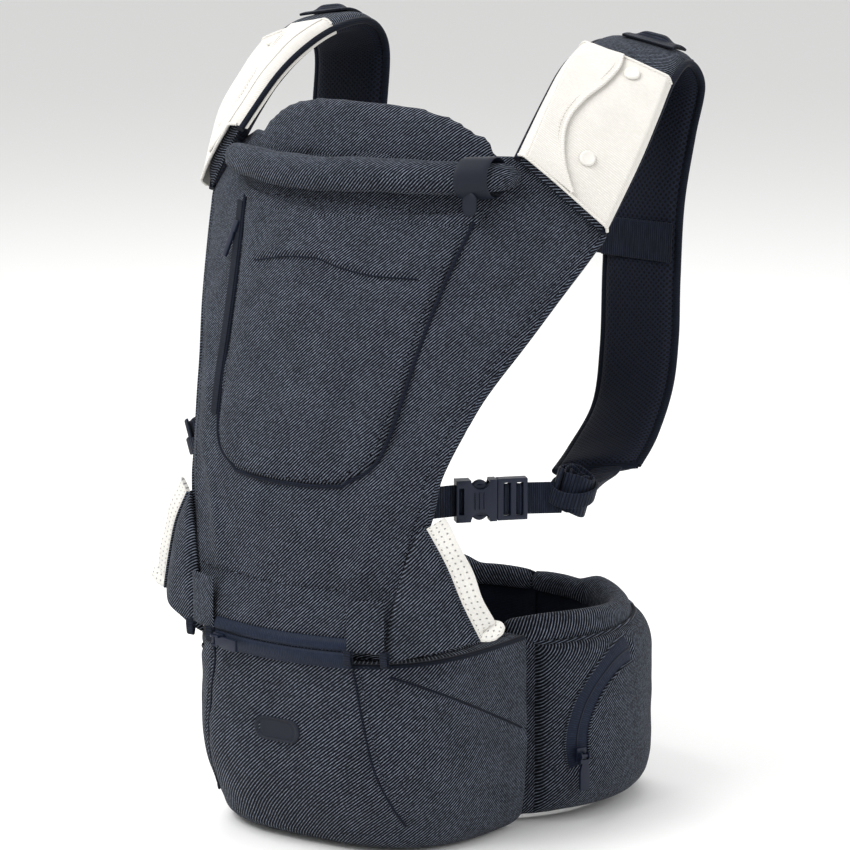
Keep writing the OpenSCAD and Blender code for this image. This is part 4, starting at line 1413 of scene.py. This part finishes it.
@dataclass
class Wing:
    """The twill wing beside the panel and the white trim of the leg opening."""

    side: Side
    panel: Panel
    rim_line: tuple = ((114, -68, 266), (129, -64, 240), (141, -58, 208), (152, -50, 180))
    trim_w: float = 17.0

    def rim(self, t: float) -> Vector:
        """Point of the wing's outer rim at R, from its top down."""
        return spline_at(vectors(self.rim_line), 3 * t)

    def root(self, t: float) -> Vector:
        """Point of the wing's inner line at R, under the panel's edge."""
        z = lerp(268, 160, t)
        return on_panel(self.panel.half(z) - lerp(3, 14, t), z, -3.5)

    def at(self, t: float, u: float, off: float = 0.0) -> Vector:
        """Point of the wing, with its soft gathers."""
        bulge = 11 * math.sin(math.pi * u) * math.sin(math.radians(100) * t)
        pleat = 1.8 * math.sin(7.5 * u + 2.2 * t) * math.sin(math.pi * u) * t
        p = self.root(t).lerp(self.rim(t), u)
        lumps = 1.3 * rough(p, 30, 21)
        p.y -= bulge + pleat + lumps * math.sin(math.pi * clamp(u, 0.02, 0.98)) - off
        return mirror_x(p, self.side)

    def cloth(self) -> Obj:
        """Twill wing."""
        def shape(u: float, v: float, w: float) -> Vector:
            """Point of the wing's cloth, v from its top down."""
            body = 1.0 + 1.0 * round_edge(u, 6)
            return self.at(v, u, 2.5 - w * body)
        obj = slab(f"wing_cloth_{self.side.name}", 24, 36, shape, lambda u, v: (0, 0), 1)
        write_uv(obj, lambda p: (p.x * 0.8 + p.y * 0.6 * self.side.value, p.z))
        return finish(obj, TWILL, "panel", f"wing_{self.side.name}")

    def trim_at(self, t: float, w: float, off: float = 0.0) -> Vector:
        """Point of the trim: t down it, w millimetres out from the wing's rim."""
        k, hook = clamp(t), smooth((t - 0.8) / 0.26)
        out = Vector((lerp(lerp(0.7, 0.95, k), 0.1, hook), 0.4, lerp(lerp(0.55, 0.1, k), 0.9, hook)))
        p = self.rim(k) + w * out
        p += Vector((110, 14, 10)) * max(0.0, t - 1)
        p.y += off + 1.0 * math.sin(17 * t) * (w / self.trim_w)
        return mirror_x(p, self.side)

    def trim(self) -> Obj:
        """White mesh trim that ends in a fold under the wing's foot."""
        def shape(u: float, v: float, w: float) -> Vector:
            """Point of the trim's padded band."""
            body = 2.1 * round_edge(v, 3.5) + 0.3
            t = lerp(-0.03, 1.15, u)
            slim = 0.3 + 0.7 * math.sqrt(1 - clamp((t - 1.04) / 0.11) ** 2)
            across = lerp(-0.5, self.trim_w + 0.8, 0.5 + (v - 0.5) * slim)
            return self.trim_at(t, across, 1.6 - w * body)
        obj = slab(f"leg_trim_mesh_{self.side.name}", 56, 12, shape,
                   lambda u, v: (u * 126, v * self.trim_w), 1)
        return finish(obj, LEG_NET, "panel", f"leg_trim_{self.side.name}")

    def piping(self) -> None:
        """Rim piping between the wing and its trim, and a line of stitches on the trim."""
        name = self.side.name
        finish(tube(f"wing_piping_{name}", line(50, lambda t: self.trim_at(t, 0.2, 0.0)), 1.3), BIAS,
               "panel")
        near = line(60, lambda t: self.trim_at(t, 3.6, -0.7))
        finish(stitches(f"trim_stitching_{name}", near, lambda p: Vector((0.2 * self.side.value, -1, 0)),
                        3.2), COTTON, "panel")

    def build(self) -> None:
        """Builds one side."""
        self.cloth()
        self.trim()
        self.piping()


@dataclass
class Hood:
    """The head support, the rolled hood under it and the hood's tab."""

    panel: Panel
    half: float = 140.0
    radius: float = 12.0
    z: float = 525.0
    off: float = -17.0
    head_edge: tuple = ((0, 122), (0.2, 119), (0.35, 114), (0.55, 106), (0.7, 98), (0.85, 82),
                        (0.94, 64), (1, 36))

    def head(self) -> Obj:
        """Padded head support, filled by simulation."""
        def shape(u: float, v: float, w: float) -> Vector:
            """Point of the head support's pad."""
            x = table(self.head_edge, v) * (2 * u - 1)
            z = lerp(524, 579.5, v) - 0.0009 * x * x * v
            body = 5.6 * round_edge(u, 6) * round_edge(v, 7) + 0.6
            p = on_panel(x, z, 0)
            return on_panel(x, z, 6.8 - w * body - 0.8 * rough(p, 40, 17))
        obj = slab("head_pad", 46, 22, shape, lambda u, v: (0, 0), 0)
        puff(obj, 5, 2.6)
        write_uv(obj, lambda p: (p.x, p.z))
        obj.data.materials.append(TWILL.material())
        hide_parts("head_support")
        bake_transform(obj)
        LOG.info("%s bends from panel to head", obj.name)
        return obj

    def centre(self, x: float) -> Vector:
        """Middle of the roll at x, a little higher towards R."""
        return on_panel(x, self.z + 0.03 * x + 0.8 * math.sin(x / 23), self.off)

    def roll(self) -> Obj:
        """Hood rolled into a tube with gathered, round ends."""
        def surface(u: float, v: float) -> Vector:
            """Point of the roll's skin, v from its L end to its R end."""
            x = self.half * (2 * v - 1)
            a = 2 * math.pi * u
            end = abs(2 * v - 1)
            body = math.sqrt(max(0.0, 1 - end**16)) * (1 - 0.16 * end**3)
            pleats = 0.9 * math.sin(9 * a) * smooth((end - 0.72) / 0.25)
            lumps = 1.0 * rough(Vector((x, 24 * math.cos(a), 24 * math.sin(a))), 26, 31)
            wrapped = 1.3 * math.exp(-((math.degrees(a) - 205 - 8 * math.sin(x / 31)) / 9) ** 2)
            r = body * (self.radius + lumps + pleats - wrapped)
            c = self.centre(x)
            return c + Vector((0, -r * math.cos(a), 1.12 * r * math.sin(a)))
        obj = wrap("hood_roll_cloth", 44, 84, surface, lambda u, v: (v * 280, u * 76), 1)
        return finish(obj, TWILL, "panel", "hood_roll")

    def tab(self) -> Obj:
        """Rubber tab that holds the roll, with a flat oval grip below it."""
        def shape(u: float, v: float, w: float) -> Vector:
            """Point of the tab round the roll."""
            x = lerp(101, 125, v)
            a = math.radians(lerp(150, -158, u))
            r = self.radius + 1.9 + w * 0.9 * round_edge(v, 8)
            return self.centre(x) + Vector((0, -r * math.cos(a), 1.12 * r * math.sin(a)))
        band = slab("band", 34, 10, shape, lambda u, v: (u * 70, v * 24), 1)

        low = self.centre(111)
        place = Matrix.Translation(low + Vector((0, -9.5, -19))) @ Matrix.Rotation(math.radians(90), 4, "X")
        rim = [(0, -1), (0.9, -1), (1, -0.4), (1, 1.0), (0.9, 1.7), (0.6, 1.9), (0, 1.9)]
        tongue = oval_disc("grip", place @ Matrix.Rotation(math.radians(90), 4, "Z"), (3.2, 6.6), rim, 40)
        return finish(join("hood_tab_strap", [band, tongue]), RUBBER, "panel", "hood_tab")

    def build(self) -> None:
        """Builds the head support and the hood."""
        self.head()
        self.roll()
        self.tab()


# ---------------------------------------------------------------- shoulder straps


@dataclass
class ShoulderStrap:
    """A shoulder strap: pad, mesh, bound edges, cotton cover, tab and webbing."""

    side: Side
    thick: float = 16.0
    bib_end: float = 2.8
    inner: tuple = ((132, 28, 542), (128, 72, 580), (122, 108, 602), (118, 145, 613), (115, 182, 613),
                    (114, 203, 592), (113, 200, 550), (113, 188, 490), (114, 182, 430),
                    (116, 176, 370), (118, 162, 325), (120, 124, 296), (126, 92, 284))
    outer: tuple = ((189, 64, 483), (199, 95, 532), (198, 125, 565), (194, 155, 592),
                    (189, 186, 602), (188, 207, 582), (184, 200, 542), (182, 188, 490),
                    (182, 183, 430), (183, 180, 385), (183, 172, 345), (183, 150, 310),
                    (182, 128, 290))

    def __post_init__(self) -> None:
        """Keeps the two edges as vectors."""
        self.rails = vectors(self.inner), vectors(self.outer)
        self.last = len(self.inner) - 1

    @property
    def body(self) -> str:
        """Body that the strap moves with."""
        return f"strap_{self.side.name}"

    def at(self, u: float, v: float, off: float = 0.0) -> Vector:
        """Point of the strap: u along it, v across it, off outwards."""
        a, b = (spline_at(rail, u) for rail in self.rails)
        ahead, behind = (sum((spline_at(rail, k) for rail in self.rails), Vector())
                         for k in (min(u + 0.05, self.last), max(u - 0.05, 0)))
        out = (b - a).normalized().cross((ahead - behind).normalized()).normalized()
        return mirror_x(a.lerp(b, v) + out * off, self.side)

    def out(self, p: Vector) -> Vector:
        """Outward direction of the strap near a point."""
        u = min((k / 10 for k in range(10 * self.last)), key=lambda k: (self.at(k, 0.5) - p).length)
        return self.at(u, 0.5, 5) - self.at(u, 0.5)

    def dress(self, obj: Obj, look: Finish, *nodes: str) -> Obj:
        """Finish of a piece that is sewn into the panel, with its place baked into its mesh."""
        obj.data.materials.clear()
        obj.data.materials.append(look.material())
        if nodes:
            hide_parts(*nodes)
        self.body
        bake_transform(obj)
        LOG.info("%s bends from panel to %s", obj.name, self.body)
        return obj

    def layer(self, name: str, u0: float, u1: float, off0: float, off1: float, crown: float,
              nu: int, margin: float = 0.0) -> Obj:
        """A padded layer of the strap between two offsets.

        Args:
            name: name of the piece.
            u0: where it starts along the strap.
            u1: where it ends.
            off0: offset of its flat side.
            off1: offset of its crowned side at the edges.
            crown: how much more it stands out in the middle.
            nu: faces along it.
            margin: share of the width left free at each edge.

        Returns:
            The layer.
        """
        def shape(u: float, v: float, w: float) -> Vector:
            """Point of the layer."""
            k, share = lerp(u0, u1, u), lerp(margin, 1 - margin, v)
            p = self.at(k, share)
            full = round_edge(v, 7) * round_edge(u, 60)
            lumps = 0.6 * rough(p, 34, 41) * full
            top = lerp(off0, off1, full) + math.copysign(crown * math.sin(math.pi * v) + lumps, off1)
            return self.at(k, share, lerp(off0, top, (w + 1) / 2))
        return slab(name, nu, 14, shape, lambda u, v: (v * 72, lerp(u0, u1, u) * 52), 1)

    def pads(self) -> None:
        """Twill outer pad and spacer-mesh inner pad."""
        name, half = self.side.name, self.thick / 2
        obj = self.layer(f"strap_twill_{name}", 0, self.last, 0.1, half - 1.2, 2.2, 110)
        self.dress(obj, TWILL, f"strap_pad_{name}")
        obj = self.layer(f"strap_spacer_{name}", 0, self.last, -0.1, -half + 1.2, 1.6, 110, 0.01)
        self.dress(obj, SPACER, f"strap_mesh_{name}")

    def bindings(self) -> None:
        """Bias binding along both edges and round the lower end."""
        name = self.side.name
        rails = [tube("rail", line(150, lambda t, v=v: self.at(t * self.last, v, -0.3)), 2.9)
                 for v in (0.012, 0.988)]
        foot = tube("foot", line(20, lambda t: self.at(self.last, lerp(0.01, 0.99, t), -0.3)), 2.9)
        self.dress(join(f"strap_binding_{name}", [*rails, foot]), LINING)
        near = [stitches("row", line(160, lambda t, v=v: self.at(lerp(4.4, 11.8, t), v, 6.2)),
                         self.out, 4.0) for v in (0.09, 0.91)]
        finish(join(f"strap_stitching_{name}", near), BIAS, self.body)

    def bib_at(self, u: float, s: float, off: float = 0.0) -> Vector:
        """Point of the cotton cover: s from 0 to 1 across it, its ends wrapped round the pad."""
        edge = max(0.0, (abs(2 * s - 1) - 0.86) / 0.14)
        v = lerp(-0.035, 1.035, s) if edge < 1 else round(s)
        p = self.at(u, v)
        crown = 1.6 * math.sin(math.pi * clamp(v))
        creases = 0.9 * rough(p, 30, 51) * (1 - edge)
        return self.at(u, v, 9.2 + crown + creases - 14 * edge**1.6 + off)

    def bib(self) -> None:
        """Cotton cover over the strap's top, with its flap, bound edge and snaps."""
        name = self.side.name

        def shape(u: float, v: float, w: float) -> Vector:
            """Point of the cover's cloth."""
            k = lerp(0.03, self.bib_end, u)
            return self.bib_at(k, v, 0.9 * w * round_edge(u, 30))
        obj = slab(f"bib_cloth_{name}", 60, 44, shape, lambda u, v: (v * 96, u * 170), 1)
        self.dress(obj, COTTON, f"bib_{name}")
        edge = [(0.1, 0.55), (0.45, 0.36), (0.8, 0.28), (1.3, 0.33), (1.9, 0.44), (2.4, 0.49), (2.7, 0.47)]

        def flap(u: float, v: float, w: float) -> Vector:
            """Point of the flap that lies over the cover's inner side."""
            k = lerp(0.08, self.bib_end - 0.05, u)
            s = lerp(0.09, table(edge, k), v)
            lift = 1.6 + 1.7 * v * v + 0.6 * math.sin(5 * k) * v
            return self.bib_at(k, s, lift + 0.75 * w)
        obj = slab(f"bib_flap_{name}", 60, 14, flap, lambda u, v: (v * 34, u * 170), 1)
        self.dress(obj, COTTON)
        bound = line(90, lambda t: self.bib_at(lerp(0.1, self.bib_end - 0.07, t),
                                               table(edge, lerp(0.1, self.bib_end - 0.07, t)), 3.3))
        rows = [tube("edge", bound, 1.5)]
        hems = [line(40, lambda t, k=k: self.bib_at(k, lerp(0.03, 0.97, t), 0.9))
                for k in (0.06, self.bib_end - 0.04)]
        rows += [tube(f"hem{i}", hem, 1.3) for i, hem in enumerate(hems)]
        self.dress(join(f"bib_binding_{name}", rows), COTTON)
        sewn = line(90, lambda t: self.bib_at(lerp(0.2, 2.6, t), table(edge, lerp(0.2, 2.6, t)) - 0.05, 3.5))
        self.dress(stitches(f"bib_stitching_{name}", sewn, self.out, 3.2), COTTON)
        caps = []
        profile = [(0, -1.5), (1, -1.5), (1, 0.6), (0.9, 1.4), (0.72, 1.7), (0.6, 1.25), (0.3, 1.0),
                   (0, 0.95)]
        for u, s in ((0.62, 0.56), (2.42, 0.62)):
            at = self.bib_at(u, s, 2.0)
            z = (self.at(u, 0.5, 5) - self.at(u, 0.5)).normalized()
            x = Vector((0, 0, 1)).cross(z).normalized()
            turn = Matrix((x, z.cross(x), z)).transposed().to_4x4()
            caps.append(oval_disc("cap", Matrix.Translation(at) @ turn, (0.0, 6.4), profile, 40))
        self.dress(join(f"bib_caps_{name}", caps), RESIN, f"bib_snaps_{name}")

    def tab(self) -> None:
        """Webbing tab at the shoulder with its raised loop."""
        name = self.side.name

        def shape(u: float, v: float, w: float) -> Vector:
            """Point of the tab's webbing, humped in its middle."""
            hump = 4.6 * math.exp(-((u - 0.5) / 0.17) ** 4) * math.exp(-((v - 0.5) / 0.3) ** 6)
            return self.at(lerp(3.62, 4.3, u), lerp(0.24, 0.84, v), 10.6 + hump + 1.1 * w)
        obj = slab(f"shoulder_loop_{name}", 26, 22, shape, lambda u, v: (u * 34, v * 44), 1)
        finish(obj, WEBBING, self.body, f"shoulder_tab_{name}")

    def back_strap(self) -> None:
        """Webbing across the back of the wearer, sewn over the strap's mesh, and its clasp."""
        name = self.side.name

        def sewn(u: float, v: float, w: float) -> Vector:
            """Point of the stretch sewn on the strap."""
            return self.at(lerp(7.26, 7.76, v), lerp(0.02, 0.98, u), -9.9 + 1.1 * w)
        patch = slab("patch", 22, 10, sewn, lambda u, v: (u * 70, v * 25), 1)
        run = flat_strip("run", lambda t: mirror_x(Vector((lerp(21, 121, t),
                                                           174.6 + 1.4 * math.sin(3.1 * t), 458)),
                                                   self.side),
                         lambda t: Vector((0, 0, 1)), 25, 2.2, 30, 100)
        finish(join(f"back_webbing_{name}", [patch, run]), WEBBING, self.body, f"back_strap_{name}")
        node = "back_clasp_tongue" if self.side is Side.R else "back_clasp_channel"
        finish(rounded_copy(node, node + "_moulding", 1.0), ACETAL, self.body, node)

    def build(self) -> None:
        """Builds the strap."""
        self.pads()
        self.bindings()
        self.bib()
        self.tab()
        self.back_strap()


@dataclass
class StrapBuckle:
    """Side-release buckle of one strap with the webbing on both sides of it."""

    side: Side
    panel: Panel
    strap: ShoulderStrap
    root: tuple = (113, -26, 281)
    ahead: tuple = (0.6816, 0.7317, 0.0)
    socket: float = 32.0
    plug: float = 24.0
    web: float = 25.0

    def at(self, s: float, off: float = 0.0, z: float = 0.0) -> Vector:
        """Point s millimetres along the buckle's line, off outwards and z upwards."""
        d = Vector(self.ahead)
        p = Vector(self.root) + d * s + Vector((d.y, -d.x, 0)) * off + Vector((0, 0, z))
        return mirror_x(p, self.side)

    def mouldings(self) -> None:
        """The socket and the plug, with rounded edges, ribs and the prongs' arcs."""
        name = self.side.name
        finish(rounded_copy(f"strap_socket_{name}", f"buckle_socket_{name}", 1.5), ACETAL, "panel",
               f"strap_socket_{name}")
        finish(rounded_copy(f"strap_plug_{name}", f"buckle_plug_{name}", 1.1), ACETAL,
               f"lead_{name}", f"strap_plug_{name}")
        lugs = []
        for up in (-1, 1):
            arc = line(16, lambda t, up=up: self.at(12 + 14 * t, 0,
                                                    up * (8.6 + 5.2 * math.sin(math.pi * t))))
            lugs.append(tube(f"lug{up}", arc, 2.3))
        finish(join(f"buckle_prongs_{name}", lugs), ACETAL, f"lead_{name}")
        ribs = [tube(f"rib{s}", line(10, lambda t, s=s: self.at(s, 5.6, lerp(-6.5, 6.5, t))), 0.8)
                for s in (15, 18.5, 22)]
        finish(join(f"buckle_ribs_{name}", ribs), ACETAL, "panel")

    def side_webbing(self) -> None:
        """Webbing from behind the panel's edge into the socket."""
        name = self.side.name
        a = mirror_x(on_panel(96, 281, 17), Side.R)
        b, c = Vector((113, -26, 281)) - Vector(self.ahead) * 1.0, Vector(self.root) + Vector(self.ahead) * 9

        def run(t: float) -> Vector:
            """Point of the webbing's middle."""
            return mirror_x(a.lerp(b, t / 0.75) if t < 0.75 else b.lerp(c, (t - 0.75) / 0.25), self.side)
        main = flat_strip("main", run, lambda t: Vector((0, 0, 1)), self.web, 2.4, 20, 42)
        finish(main, WEBBING, "panel", f"side_web_{name}")

    def lead(self) -> None:
        """Webbing through the plug and on to the strap, with its spare length rolled up."""
        name = self.side.name
        start = self.socket + 3
        end = self.socket + 0.5 + self.plug + 28

        def run(t: float) -> Vector:
            """Point of the webbing, woven over the plug's bars."""
            s = lerp(start, end, t)
            weave = 2.6 * math.sin((s - start - 2) / 5.2 * math.pi) * smooth((start + 22 - s) / 4)
            return self.at(s, weave, -1.2 * t)
        parts = [flat_strip("main", run, lambda t: Vector((0, 0, 1)), self.web, 1.9, 48, 60)]
        core = self.at(end + 8, 2, 4)
        tilt = Matrix.Rotation(math.radians(18 * self.side.value), 3, "Y")

        def curl(u: float, v: float, w: float) -> Vector:
            """Point of the rolled tail: a spiral of two and a half turns."""
            a = 2 * math.pi * 2.6 * u + 0.5
            r = 4.2 + 11.8 * u + 0.9 * w + 0.6 * math.sin(3 * a)
            flat = 0.82 + 0.18 * math.cos(2 * a)
            height = (v - 0.5) * (30 + 3 * u) + 1.5 * math.sin(2.3 * a)
            return core + tilt @ Vector((r * math.cos(a), r * math.sin(a) * flat, height))
        parts.append(slab("curl", 90, 14, curl, lambda u, v: (u * 130, v * 30), 1))

        def belt(u: float, v: float, w: float) -> Vector:
            """Point of the turn of webbing that ties the roll."""
            a = 2 * math.pi * u
            r = 17.6 + 1.0 * w
            p = Vector((r * math.cos(a), r * math.sin(a) * 0.86, (v - 0.5) * 13 + 5.5 * math.sin(a + 0.6)))
            return core + tilt @ p
        parts.append(slab("tie", 48, 8, belt, lambda u, v: (u * 84, v * 13), 1))
        finish(join(f"lead_webbing_{name}", parts), WEBBING, f"lead_{name}", f"lead_web_{name}")

    def adjuster(self) -> None:
        """Webbing from the strap's lower end down to the rolled tail."""
        name = self.side.name
        top = self.strap.at(self.strap.last - 0.15, 0.62, -0.5)
        low = mirror_x(Vector((179, 56, 273)), self.side)
        edge = (self.strap.at(self.strap.last, 1) - self.strap.at(self.strap.last, 0)).normalized()
        turned = mirror_x(Vector((0.25, 0.3, 0.92)), self.side)

        def run(t: float) -> Vector:
            """Point of the webbing's middle."""
            return top.lerp(low, t) + Vector((0, 0, -3 * math.sin(math.pi * t)))
        obj = flat_strip(f"adjuster_webbing_{name}", run, lambda t: edge.lerp(turned, smooth(t)),
                         self.web, 2.2, 30, 60)
        finish(obj, WEBBING, self.strap.body, f"adjuster_web_{name}")

    def build(self) -> None:
        """Builds the buckle and its webbing."""
        self.mouldings()
        self.side_webbing()
        self.lead()
        self.adjuster()


# ---------------------------------------------------------------- studio


@dataclass
class Studio:
    """Pale floor, soft lamps and the camera."""

    azimuth: float = 35.0
    elevation: float = 12.0
    distance: float = 4.0
    aim: tuple = (0.0, 0.095, 0.3057)
    lens: float = 211.8

    def floor(self) -> None:
        """Plain pale floor and a pale surround."""
        deselect()
        bpy.ops.mesh.primitive_plane_add(size=60, location=(0, 0, -0.0005))
        floor = bpy.context.active_object
        floor.name = "floor"
        pale = bpy.data.materials.new("pale_paper")
        pale.use_nodes = True
        skin = pale.node_tree.nodes["Principled BSDF"]
        skin.inputs["Base Color"].default_value = linear("#f6f6f5")
        skin.inputs["Roughness"].default_value = 0.9
        floor.data.materials.append(pale)
        world = bpy.data.worlds.new("surround")
        world.use_nodes = True
        world.node_tree.nodes["Background"].inputs[0].default_value = linear("#ffffff")
        world.node_tree.nodes["Background"].inputs[1].default_value = 0.7
        bpy.context.scene.world = world
        bpy.context.scene.view_settings.view_transform = "Standard"

    def lamp(self, name: str, azimuth: float, elevation: float, size: float, power: float) -> None:
        """Square soft lamp that faces the carrier.

        Args:
            name: name of the lamp.
            azimuth: its direction in the camera's own degrees.
            elevation: degrees above the horizon.
            size: side in metres.
            power: watts.
        """
        data = bpy.data.lights.new(name, "AREA")
        data.size = size
        data.energy = power
        lamp = bpy.data.objects.new(name, data)
        bpy.context.collection.objects.link(lamp)
        back = self.back(azimuth, elevation)
        lamp.location = Vector(self.aim) + back * 2.4
        lamp.rotation_euler = (-back).to_track_quat("-Z", "Y").to_euler()

    def back(self, azimuth: float, elevation: float) -> Vector:
        """Direction from the carrier towards a viewer."""
        a, e = math.radians(azimuth), math.radians(elevation)
        return Vector((math.sin(a) * math.cos(e), -math.cos(a) * math.cos(e), math.sin(e)))

    def camera(self) -> None:
        """Camera at the viewing angle."""
        data = bpy.data.cameras.new("camera")
        data.sensor_width = 36
        data.lens = self.lens
        data.clip_end = 200
        camera = bpy.data.objects.new("camera", data)
        bpy.context.collection.objects.link(camera)
        back = self.back(self.azimuth, self.elevation)
        camera.location = Vector(self.aim) + back * self.distance
        camera.rotation_euler = (-back).to_track_quat("-Z", "Y").to_euler()
        bpy.context.scene.camera = camera

    def build(self) -> None:
        """Sets the stage."""
        self.camera()
        self.floor()
        self.lamp("key", -20, 52, 1.4, 52)
        self.lamp("fill", 95, 20, 1.6, 16)
        self.lamp("rim", 215, 50, 2.0, 26)


def dress_inner_parts() -> None:
    """Gives the CAD nodes that stay inside the cloth their real materials."""
    for node, look in (("seat_core", FOAM), ("seat_base_board", ACETAL)):
        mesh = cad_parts[node].data
        mesh.materials.clear()
        mesh.materials.append(look.material())


def main() -> None:
    """Builds the carrier round the frame, sub-assembly by sub-assembly."""
    logging.basicConfig(level=logging.INFO, format="%(message)s")
    Studio().build()
    dress_inner_parts()
    Seat().build()
    panel = Panel()
    panel.build()
    Hood(panel).build()
    for side in Side:
        Belt(side, deep=20.5 if side is Side.R else 16.0).build()
        Wing(side, panel).build()
        strap = ShoulderStrap(side)
        strap.build()
        StrapBuckle(side, panel, strap).build()
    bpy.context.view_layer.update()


if __name__ == "__main__":
    main()
